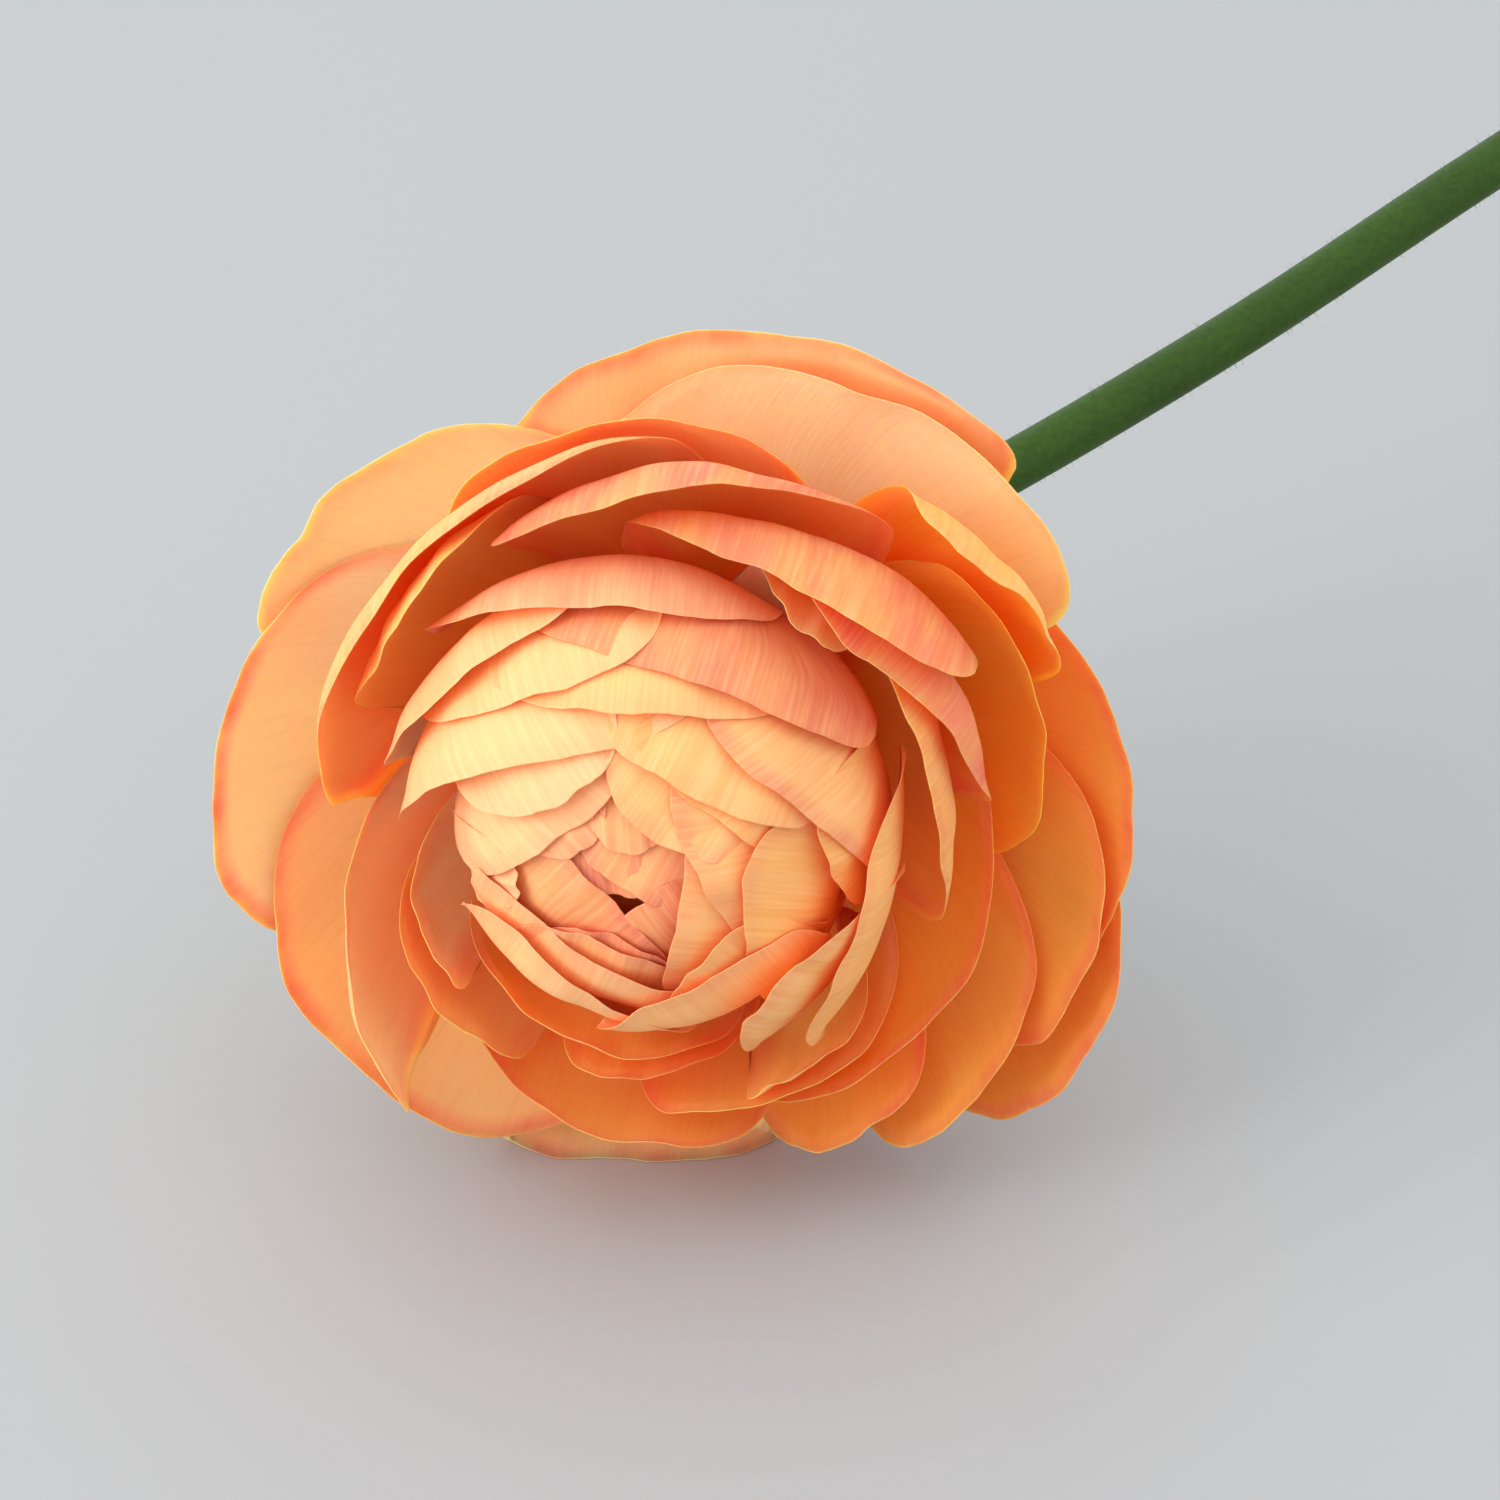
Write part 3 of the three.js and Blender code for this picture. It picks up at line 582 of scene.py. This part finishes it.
def petal_patterns(tree, value):
    """Fine veins that run a petal's length, and the broad patches in which it blushes."""
    uv = add(tree, "ShaderNodeUVMap", uv_map="petal").outputs["UV"]
    lengthwise = add(tree, "ShaderNodeMapping", {
        "Vector": uv, "Scale": (VEINS_PER_MM / MM, VEIN_RUNS_PER_MM / MM, 1),
    })
    veins = add(tree, "ShaderNodeTexNoise", {
        "Vector": lengthwise.outputs["Vector"], "W": value["draw"], "Scale": 1.0, "Detail": 2.0,
        "Roughness": 0.55,
    }, noise_dimensions="4D")
    broad = add(tree, "ShaderNodeMapping", {
        "Vector": uv, "Scale": (PATCHES_PER_MM[0] / MM, PATCHES_PER_MM[1] / MM, 1),
    })
    patches = add(tree, "ShaderNodeTexNoise", {
        "Vector": broad.outputs["Vector"], "W": value["draw"], "Scale": 1.0, "Detail": 2.0,
    }, noise_dimensions="4D")
    return veins.outputs["Fac"], patches.outputs["Fac"]


def petal_ground(tree, value, colours, claw_tint_and_shade):
    """Orange or golden tissue, paler outside, and deeper towards the claw: partly the petals' own
    deeper roots, partly painted shade deep between the petals.
    """
    # Painted shade in part: the gold share picks yellow or orange, and its low values on the
    # right-hand petals stand for the bloom's shade there.
    inside = add(tree, "ShaderNodeMix", {
        MIX: value["gold"], TONE_A: tuple(colours.inside), TONE_B: tuple(colours.inside_gold),
    }, data_type="RGBA").outputs[TONE]
    outside = add(tree, "ShaderNodeMix", {
        MIX: value["gold"], TONE_A: tuple(colours.outside), TONE_B: tuple(colours.outside_gold),
    }, data_type="RGBA").outputs[TONE]
    blade = add(tree, "ShaderNodeMix", {
        MIX: value["outer"], TONE_A: inside, TONE_B: outside,
    }, data_type="RGBA").outputs[TONE]
    # Painted shade in part: the colour deepens towards the claw, down where the petals crowd
    # together.
    deep = add(tree, "ShaderNodeMapRange", {
        "Value": value["along"], "From Min": 0.1, "From Max": 0.6,
        "To Min": claw_tint_and_shade, "To Max": 0.0,
    }).outputs["Result"]
    return add(tree, "ShaderNodeMix", {
        MIX: deep, TONE_A: blade, TONE_B: tuple(colours.claw),
    }, data_type="RGBA").outputs[TONE]


def petal_pinkness(tree, value, patches):
    """How pink a petal is: in patches over its outer face, and in a soft band at its edge."""
    patch = add(tree, "ShaderNodeMapRange", {
        "Value": patches, "From Min": 0.35, "From Max": 0.65, "To Min": 0.55, "To Max": 1.0,
    }).outputs["Result"]
    outer_part = add(tree, "ShaderNodeMapRange", {
        "Value": value["outer"], "To Min": 0.1, "To Max": 1.0,
    }).outputs["Result"]
    flush = add(tree, "ShaderNodeMath", {
        0: value["blush"], 1: patch,
    }, operation="MULTIPLY").outputs[0]
    flush = add(tree, "ShaderNodeMath", {
        0: flush, 1: outer_part,
    }, operation="MULTIPLY").outputs[0]
    width = add(tree, "ShaderNodeMapRange", {
        "Value": value["outer"], "To Min": PINK_BAND_INSIDE, "To Max": PINK_BAND_OUTSIDE,
    }).outputs["Result"]
    near = add(tree, "ShaderNodeMapRange", {
        "Value": value["edge_mm"], "From Min": 0.0, "From Max": width,
        "To Min": 0.9, "To Max": 0.0,
    }, interpolation_type="SMOOTHERSTEP").outputs["Result"]
    near = add(tree, "ShaderNodeMath", {
        0: near, 1: value["edge_pink"],
    }, operation="MULTIPLY").outputs[0]
    near = add(tree, "ShaderNodeMath", {0: near, 1: patch}, operation="MULTIPLY").outputs[0]
    return add(tree, "ShaderNodeMath", {0: flush, 1: near}, operation="MAXIMUM").outputs[0]


def petal_material(name, colours, weight, claw_tint_and_shade):
    """Fresh petal tissue, satin and a little waxy, veined along its length. It is thin and full
    of water: with a weight, light passes through it and glows orange between the blades."""
    material = empty_material(name)
    tree = material.node_tree
    value = {}
    for key in ("edge_mm", "outer", "along", "blush", "edge_pink", "gold", "draw"):
        value[key] = add(tree, "ShaderNodeAttribute", attribute_name=key).outputs["Fac"]
    veins, patches = petal_patterns(tree, value)
    body = add(tree, "ShaderNodeMix", {
        MIX: petal_pinkness(tree, value, patches),
        TONE_A: petal_ground(tree, value, colours, claw_tint_and_shade),
        TONE_B: tuple(colours.pink),
    }, data_type="RGBA").outputs[TONE]
    streak = add(tree, "ShaderNodeMapRange", {
        "Value": veins, "From Min": 0.45, "From Max": 0.75, "To Min": 0.0, "To Max": 0.24,
    }).outputs["Result"]
    faint = add(tree, "ShaderNodeMapRange", {
        "Value": value["outer"], "To Min": 0.25, "To Max": 1.0,
    }).outputs["Result"]
    streak = add(tree, "ShaderNodeMath", {0: streak, 1: faint}, operation="MULTIPLY").outputs[0]
    body = add(tree, "ShaderNodeMix", {
        MIX: streak, TONE_A: body, TONE_B: tuple(colours.vein),
    }, data_type="RGBA").outputs[TONE]
    # Painted shade: the colour darkens by up to 6 % where the vein bump dips, as shade in its
    # furrows.
    furrow_shade = add(tree, "ShaderNodeMapRange", {
        "Value": veins, "From Min": 0.25, "From Max": 0.5, "To Min": 0.94, "To Max": 1.0,
    }).outputs["Result"]
    body = add(tree, "ShaderNodeVectorMath", {
        0: body, "Scale": furrow_shade,
    }, operation="SCALE").outputs[0]
    bump = add(tree, "ShaderNodeBump", {
        "Height": veins, "Strength": 0.25, "Distance": 0.12 * MM,
    })
    skin = add(tree, "ShaderNodeBsdfPrincipled", {
        "Base Color": body, "Roughness": 0.55, "IOR": 1.4, "Specular IOR Level": 0.3,
        "Subsurface Weight": weight, "Subsurface Radius": (1.0, 0.45, 0.15),
        "Subsurface Scale": 0.9 * MM, "Normal": bump.outputs["Normal"],
    })
    add(tree, "ShaderNodeOutputMaterial", {"Surface": skin.outputs["BSDF"]})
    return material


def paler_inside(tree, place, colour, pale):
    """The colour outside the bloom and the pale one inside it, by the distance along its axis."""
    forward = add(tree, "ShaderNodeVectorMath", {
        0: place, 1: tuple(AXIS),
    }, operation="DOT_PRODUCT").outputs["Value"]
    back = float(HEART @ AXIS) - BLOOM_BACK
    shaded = add(tree, "ShaderNodeMapRange", {
        "Value": forward, "From Min": (back + PALE_FROM) * MM, "From Max": (back + PALE_FULL) * MM,
    }).outputs["Result"]
    return add(tree, "ShaderNodeMix", {
        MIX: shaded, TONE_A: tuple(colour), TONE_B: tuple(pale),
    }, data_type="RGBA").outputs[TONE]


def green_material(name, colour, streak_mm, pale=None):
    """Living green tissue, smooth, matt and a little fleshy, with fine and broad mottles. With a
    pale tone, it is that inside the bloom, where the petals keep the light off."""
    material = empty_material(name)
    tree = material.node_tree
    place = add(tree, "ShaderNodeTexCoord").outputs["Object"]
    fine = add(tree, "ShaderNodeTexNoise", {
        "Vector": place, "Scale": 1 / (streak_mm * MM), "Detail": 3.0,
    }).outputs["Fac"]
    coarse = add(tree, "ShaderNodeTexNoise", {
        "Vector": place, "Scale": MOTTLES_PER_MM / MM, "Detail": 2.0,
    }).outputs["Fac"]
    amount = add(tree, "ShaderNodeMapRange", {
        "Value": fine, "From Min": 0.3, "From Max": 0.7, "To Min": 0.8, "To Max": 1.15,
    }).outputs["Result"]
    broad = add(tree, "ShaderNodeMapRange", {
        "Value": coarse, "From Min": 0.35, "From Max": 0.65, "To Min": 0.88, "To Max": 1.12,
    }).outputs["Result"]
    amount = add(tree, "ShaderNodeMath", {0: amount, 1: broad}, operation="MULTIPLY").outputs[0]
    base = paler_inside(tree, place, colour, pale) if pale else colour[:3]
    tone = add(tree, "ShaderNodeVectorMath", {
        0: base, "Scale": amount,
    }, operation="SCALE").outputs[0]
    bump = add(tree, "ShaderNodeBump", {"Height": fine, "Strength": 0.3, "Distance": 0.1 * MM})
    skin = add(tree, "ShaderNodeBsdfPrincipled", {
        "Base Color": tone, "Roughness": 0.5, "IOR": 1.42, "Specular IOR Level": 0.3,
        "Subsurface Weight": 0.2, "Subsurface Radius": (0.4, 1.0, 0.2),
        "Subsurface Scale": 0.8 * MM, "Normal": bump.outputs["Normal"],
    })
    add(tree, "ShaderNodeOutputMaterial", {"Surface": skin.outputs["BSDF"]})
    return material


def plain_material(name, colour, roughness):
    """One even colour with a soft sheen: the shaded core of the head, and honed stone."""
    material = empty_material(name)
    skin = add(material.node_tree, "ShaderNodeBsdfPrincipled", {
        "Base Color": tuple(colour), "Roughness": roughness, "Specular IOR Level": 0.3,
    })
    add(material.node_tree, "ShaderNodeOutputMaterial", {"Surface": skin.outputs["BSDF"]})
    return material


# Each of these makes its material on first use.
def petal_skin(colours):
    """Loose petals: light passes through them, and they deepen towards the claw, partly as painted
    shade.
    """
    name = "fresh petal tissue"
    return bpy.data.materials.get(name) or petal_material(name, colours, 1.0, 0.75)


def head_skin(colours):
    """Petals packed on a core: no light comes through from behind."""
    name = "close packed petal tissue"
    return bpy.data.materials.get(name) or petal_material(name, colours, 0.0, 0.3)


def core_skin(colours):
    """What little of the core shows between the head's petals is painted a deep, dull orange, as
    painted shade in those gaps.
    """
    name = "shaded petal tissue"
    return bpy.data.materials.get(name) or plain_material(name, colours.core, 0.8)


def stem_skin(colours):
    """The stem is a dark fresh green, and its receptacle pale inside the bloom."""
    name = "fleshy green stem"
    made = bpy.data.materials.get(name)
    return made or green_material(name, colours.stem, 0.5, colours.receptacle)


def sepal_skin(colours):
    """Sepals are a paler, greyer green than the stem."""
    name = "downy green sepal"
    return bpy.data.materials.get(name) or green_material(name, colours.sepal, 0.6)


# ---- geometry nodes --------------------------------------------------------------------------
def node_group(name, inputs):
    """A Geometry Nodes group with named inputs: {name: (socket type, default)}."""
    group = bpy.data.node_groups.new(name, "GeometryNodeTree")
    group.interface.new_socket("Geometry", in_out="INPUT", socket_type="NodeSocketGeometry")
    group.interface.new_socket("Geometry", in_out="OUTPUT", socket_type="NodeSocketGeometry")
    for key, (kind, default) in inputs.items():
        socket = group.interface.new_socket(key, in_out="INPUT", socket_type=kind)
        socket.default_value = default
    return group


def grown(source, group, values, name):
    """Runs a node group on an object and returns the result as a plain mesh object."""
    modifier = source.modifiers.new(group.name, "NODES")
    modifier.node_group = group
    for item in group.interface.items_tree:
        if item.item_type == "SOCKET" and item.in_out == "INPUT" and item.name in values:
            modifier[item.identifier] = values[item.name]
    bpy.context.view_layer.update()
    evaluated = source.evaluated_get(bpy.context.evaluated_depsgraph_get())
    mesh = bpy.data.meshes.new_from_object(evaluated)
    source.modifiers.remove(modifier)
    mesh.name = name
    piece = bpy.data.objects.new(name, mesh)
    bpy.context.scene.collection.objects.link(piece)
    return piece


def finish_group(group, geometry, material):
    """Ends a group: real geometry in one material."""
    whole = add(group, "GeometryNodeRealizeInstances", {"Geometry": geometry})
    coated = add(group, "GeometryNodeSetMaterial", {
        "Geometry": whole.outputs["Geometry"], "Material": material,
    })
    add(group, "NodeGroupOutput", {"Geometry": coated.outputs["Geometry"]})
    return group


def stem_group(material):
    """A round stem along a line, as thick at each point as its 'girth' value says."""
    group = node_group("Stem along a line", {
        "Sides": ("NodeSocketInt", STEM_SIDES), "Smoothness": ("NodeSocketInt", STEM_SMOOTHNESS),
    })
    start = add(group, "NodeGroupInput")
    line = add(group, "GeometryNodeMeshToCurve", {"Mesh": start.outputs["Geometry"]})
    smooth = add(group, "GeometryNodeCurveSplineType", {
        "Curve": line.outputs["Curve"],
    }, spline_type="CATMULL_ROM")
    fine = add(group, "GeometryNodeSetSplineResolution", {
        "Geometry": smooth.outputs["Curve"], "Resolution": start.outputs["Smoothness"],
    })
    girth = add(group, "GeometryNodeInputNamedAttribute", {"Name": "girth"}, data_type="FLOAT")
    sized = add(group, "GeometryNodeSetCurveRadius", {
        "Curve": fine.outputs["Geometry"], "Radius": girth.outputs["Attribute"],
    })
    ring = add(group, "GeometryNodeCurvePrimitiveCircle", {
        "Resolution": start.outputs["Sides"], "Radius": 1.0,
    }, mode="RADIUS")
    radius = add(group, "GeometryNodeInputRadius")
    tube = add(group, "GeometryNodeCurveToMesh", {
        "Curve": sized.outputs["Curve"], "Profile Curve": ring.outputs["Curve"],
        "Scale": radius.outputs["Radius"], "Fill Caps": True,
    })
    soft = add(group, "GeometryNodeSetShadeSmooth", {"Geometry": tube.outputs["Mesh"]})
    return finish_group(group, soft.outputs["Geometry"], material)


def hair_group(material):
    """Short fine hairs that stand out of a skin at seeded places, each a three-sided spike."""
    group = node_group("Hairs on a skin", {
        "Length": ("NodeSocketFloat", HAIR_LENGTH * MM),
        "Thickness": ("NodeSocketFloat", HAIR_THICKNESS * MM),
        "Density": ("NodeSocketFloat", HAIRS_PER_MM2 / MM ** 2),
        "Seed": ("NodeSocketInt", HAIR_SEED),
    })
    start = add(group, "NodeGroupInput")
    roots = add(group, "GeometryNodeDistributePointsOnFaces", {
        "Mesh": start.outputs["Geometry"], "Density": start.outputs["Density"],
        "Seed": start.outputs["Seed"],
    }, distribute_method="RANDOM")
    spike = add(group, "GeometryNodeMeshCone", {
        "Vertices": 3, "Radius Top": 0.0, "Radius Bottom": start.outputs["Thickness"],
        "Depth": start.outputs["Length"],
    })
    lean = add(group, "FunctionNodeRandomValue", {
        0: (-HAIR_TILT, -HAIR_TILT, -HAIR_TURN), 1: (HAIR_TILT, HAIR_TILT, HAIR_TURN),
        "Seed": start.outputs["Seed"],
    }, data_type="FLOAT_VECTOR")
    aimed = add(group, "FunctionNodeRotateEuler", {
        "Rotation": roots.outputs["Rotation"], "Rotate By": lean.outputs[0],
    }, space="LOCAL")
    size = add(group, "FunctionNodeRandomValue", {
        2: HAIR_SHORTEST, 3: HAIR_LONGEST, "Seed": start.outputs["Seed"],
    }, data_type="FLOAT")
    hairs = add(group, "GeometryNodeInstanceOnPoints", {
        "Points": roots.outputs["Points"], "Instance": spike.outputs["Mesh"],
        "Rotation": aimed.outputs["Rotation"], "Scale": size.outputs[1],
    })
    return finish_group(group, hairs.outputs["Instances"], material)


# ---- stem's line -----------------------------------------------------------------------------
def stem_rings():
    """Centres and radii from the receptacle's top to the cut end, as the solids have them."""
    slope = math.radians(180 - CLAW_ANGLE)
    last_claw = ROOT_DEPTH + ROOT_SLOPE * SEPAL.depth + BLADE
    rings = []
    for far in (*CONE_RINGS, last_claw):
        radius = far * math.tan(slope) - GAP / math.cos(slope) - CONE_EASE
        rings.append((HEART - AXIS * far, radius))
    for past, thicker in NARROWING:
        rings.append((HEART - AXIS * (last_claw + past), STEM_RADIUS + thicker))
    for x, y, z in STEM_LINE:
        rings.append((np.array([HEART[0] + x, HEART[1] + y, z]), STEM_RADIUS))
    return rings


def line_object(name, rings):
    """A line of edges through the rings' centres, with each one's radius as its 'girth'."""
    mesh = bpy.data.meshes.new(name)
    edges = [(k, k + 1) for k in range(len(rings) - 1)]
    mesh.from_pydata([tuple(at * MM) for at, _ in rings], edges, [])
    girth = mesh.attributes.new("girth", "FLOAT", "POINT")
    girth.data.foreach_set("value", [radius * MM for _, radius in rings])
    line = bpy.data.objects.new(name, mesh)
    bpy.context.scene.collection.objects.link(line)
    return line


# ---- operators -------------------------------------------------------------------------------
def petal_draw(sizes, family, number):
    """The seeded random draws of one petal."""
    return np.random.default_rng(sizes.seed * family + number)


def add_petals(rows, others):
    """Adds loose petals, one piece for each node of the solids."""
    scene = bpy.context.scene
    sizes = scene.flower_sizes
    steps = (sizes.loose_columns, sizes.loose_rows)
    for number, petal in enumerate(rows):
        draw = petal_draw(sizes, LOOSE_DRAWS, int(petal.depth * 10) + number)
        part = blade_mesh(petal, CLAW_ANGLE, steps, sizes, draw, others)
        piece = piece_from(petal.name + "_blade", part, petal_skin(scene.flower_colours))
        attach(piece, "root")
        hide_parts(petal.name)


class FLOWER_OT_guard_petals(bpy.types.Operator):
    """Adds the large outer petals, which the bloom lies on"""

    bl_idname = "flower.guard_petals"
    bl_label = "Guard Petals"

    def execute(self, context):
        add_petals(GUARD_PETALS, GUARD_PETALS + CUP_PETALS + HEAD_PETALS)
        return {"FINISHED"}


class FLOWER_OT_cup_petals(bpy.types.Operator):
    """Adds the cupped petals nested inside the guard petals"""

    bl_idname = "flower.cup_petals"
    bl_label = "Cup Petals"

    def execute(self, context):
        add_petals(CUP_PETALS, CUP_PETALS + HEAD_PETALS)
        return {"FINISHED"}


def round_core(material):
    """The ball that the head's petals close over, as an object."""
    core = bmesh.new()
    bmesh.ops.create_uvsphere(
        core, u_segments=CORE_SEGMENTS, v_segments=CORE_BANDS, radius=HEAD_CORE * MM,
    )
    bmesh.ops.translate(core, verts=core.verts, vec=HEART * MM)
    mesh = bpy.data.meshes.new("head_heart")
    core.to_mesh(mesh)
    core.free()
    return new_object("head_heart", mesh, material)


class FLOWER_OT_head(bpy.types.Operator):
    """Adds the closed head: short shingled petals over a round core"""

    bl_idname = "flower.head"
    bl_label = "Head"

    def execute(self, context):
        sizes = context.scene.flower_sizes
        colours = context.scene.flower_colours
        steps = (sizes.head_columns, sizes.head_rows)
        parts = []
        for number, petal in enumerate(HEAD_PETALS):
            draw = petal_draw(sizes, HEAD_DRAWS, number)
            base = min(petal.rim + HEAD_LENGTH, HEAD_BACK)
            parts.append(blade_mesh(petal, base, steps, sizes, draw, rooted=True, thin=HEAD_THIN))
        head = piece_from("head_petals_closed", joined(parts), head_skin(colours))
        heart = round_core(core_skin(colours))
        for piece in (head, heart):
            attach(piece, "root")
        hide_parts("head")
        return {"FINISHED"}


class FLOWER_OT_sepals(bpy.types.Operator):
    """Adds the five small green sepals under the petals"""

    bl_idname = "flower.sepals"
    bl_label = "Sepals"

    def execute(self, context):
        sizes = context.scene.flower_sizes
        skin = sepal_skin(context.scene.flower_colours)
        for number in range(SEPAL_COUNT):
            sepal = SEPAL._replace(phi=SEPAL_FIRST + 360 / SEPAL_COUNT * number)
            draw = petal_draw(sizes, SEPAL_DRAWS, number)
            part = blade_mesh(sepal, CLAW_ANGLE, SEPAL_GRID, sizes, draw)
            piece = piece_from(f"sepal_{number + 1}_blade", part, skin)
            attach(piece, "root")
            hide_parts(f"sepal_{number + 1}")
        return {"FINISHED"}


class FLOWER_OT_stem(bpy.types.Operator):
    """Adds the receptacle, the stem down to its cut end, and the fine hairs on both"""

    bl_idname = "flower.stem"
    bl_label = "Stem"

    def execute(self, context):
        sizes = context.scene.flower_sizes
        skin = stem_skin(context.scene.flower_colours)
        line = line_object("stem_line", stem_rings())
        stem = grown(line, stem_group(skin), {
            "Sides": STEM_SIDES, "Smoothness": STEM_SMOOTHNESS,
        }, "stem_skin")
        hairs = grown(stem, hair_group(skin), {
            "Length": sizes.hair, "Thickness": HAIR_THICKNESS * MM,
            "Density": sizes.hair_density / MM ** 2, "Seed": HAIR_SEED,
        }, "stem_hairs")
        bpy.data.objects.remove(line)
        for piece in (stem, hairs):
            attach(piece, "root")
        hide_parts("stem")
        return {"FINISHED"}


def aim(thing, at, target):
    """Places a light or camera and turns it towards a target; both in millimetres."""
    thing.location = at * MM
    thing.rotation_euler = (Vector((target - at) * MM)).to_track_quat("-Z", "Y").to_euler()


def add_floor(colour):
    """A plain floor of honed stone: pale, matt and without a pattern."""
    mesh = bpy.data.meshes.new("floor")
    ways = ((-1, -1), (1, -1), (1, 1), (-1, 1))
    mesh.from_pydata([(x * FLOOR_REACH, y * FLOOR_REACH, 0) for x, y in ways], [], [(0, 1, 2, 3)])
    floor = new_object("floor", mesh, plain_material("honed pale stone", colour, 0.6))


def add_window(watts, colour):
    """The soft light of a window."""
    lamp = bpy.data.lights.new("window", "AREA")
    lamp.size = WINDOW_WIDTH * MM
    lamp.energy = watts
    lamp.color = colour[:3]
    window = bpy.data.objects.new("window", lamp)
    bpy.context.scene.collection.objects.link(window)
    aim(window, WINDOW_AT, VIEW_TARGET)


def add_room(strength, colour):
    """Even light from all round, as pale walls give it."""
    world = bpy.data.worlds.new("room")
    world.use_nodes = True
    world.node_tree.nodes.clear()
    walls = add(world.node_tree, "ShaderNodeBackground", {
        "Color": tuple(colour), "Strength": strength,
    })
    add(world.node_tree, "ShaderNodeOutputWorld", {"Surface": walls.outputs["Background"]})
    bpy.context.scene.world = world


def add_camera(stage):
    camera = bpy.data.objects.new("camera", bpy.data.cameras.new("camera"))
    camera.data.lens = stage.lens
    camera.data.sensor_width = SENSOR_WIDTH
    camera.data.clip_end = CLIP_END
    bpy.context.scene.collection.objects.link(camera)
    away = np.array([0, -math.cos(stage.elevation), math.sin(stage.elevation)])
    aim(camera, VIEW_TARGET + away * stage.distance / MM, VIEW_TARGET)
    bpy.context.scene.camera = camera


class FLOWER_OT_stage(bpy.types.Operator):
    """Adds the pale floor, the soft window light, the room's light and the camera"""

    bl_idname = "flower.stage"
    bl_label = "Stage"

    def execute(self, context):
        scene = context.scene
        stage = scene.flower_stage
        colours = scene.flower_colours
        add_floor(colours.floor)
        add_window(stage.window_power, colours.window)
        add_room(stage.room_strength, colours.room)
        add_camera(stage)
        scene.view_settings.view_transform = "Standard"
        scene.cycles.max_bounces = BOUNCES
        scene.cycles.diffuse_bounces = DIFFUSE_BOUNCES
        return {"FINISHED"}


class FLOWER_PT_panel(bpy.types.Panel):
    """Lists the flower's pieces, sizes and colours in the 3D view's sidebar"""

    bl_idname = "FLOWER_PT_panel"
    bl_label = "Ranunculus Flower"
    bl_space_type = "VIEW_3D"
    bl_region_type = "UI"
    bl_category = "Flower"

    def draw(self, context):
        scene = context.scene
        for operator in PIECE_OPERATORS:
            self.layout.operator(operator.bl_idname)
        for settings in (scene.flower_sizes, scene.flower_colours, scene.flower_stage):
            for key in settings.__annotations__:
                self.layout.prop(settings, key)


PIECE_OPERATORS = (
    FLOWER_OT_stage,
    FLOWER_OT_stem,
    FLOWER_OT_sepals,
    FLOWER_OT_guard_petals,
    FLOWER_OT_cup_petals,
    FLOWER_OT_head,
)
CLASSES = (FlowerSizes, FlowerColours, StageSettings) + PIECE_OPERATORS + (FLOWER_PT_panel,)


def register():
    for item in CLASSES:
        bpy.utils.register_class(item)
    bpy.types.Scene.flower_sizes = PointerProperty(type=FlowerSizes)
    bpy.types.Scene.flower_colours = PointerProperty(type=FlowerColours)
    bpy.types.Scene.flower_stage = PointerProperty(type=StageSettings)


def unregister():
    del bpy.types.Scene.flower_stage
    del bpy.types.Scene.flower_colours
    del bpy.types.Scene.flower_sizes
    for item in reversed(CLASSES):
        bpy.utils.unregister_class(item)


def main():
    register()
    bpy.ops.flower.stage()
    bpy.ops.flower.stem()
    bpy.ops.flower.sepals()
    bpy.ops.flower.guard_petals()
    bpy.ops.flower.cup_petals()
    bpy.ops.flower.head()
    bpy.context.view_layer.update()


if __name__ == "__main__":
    main()
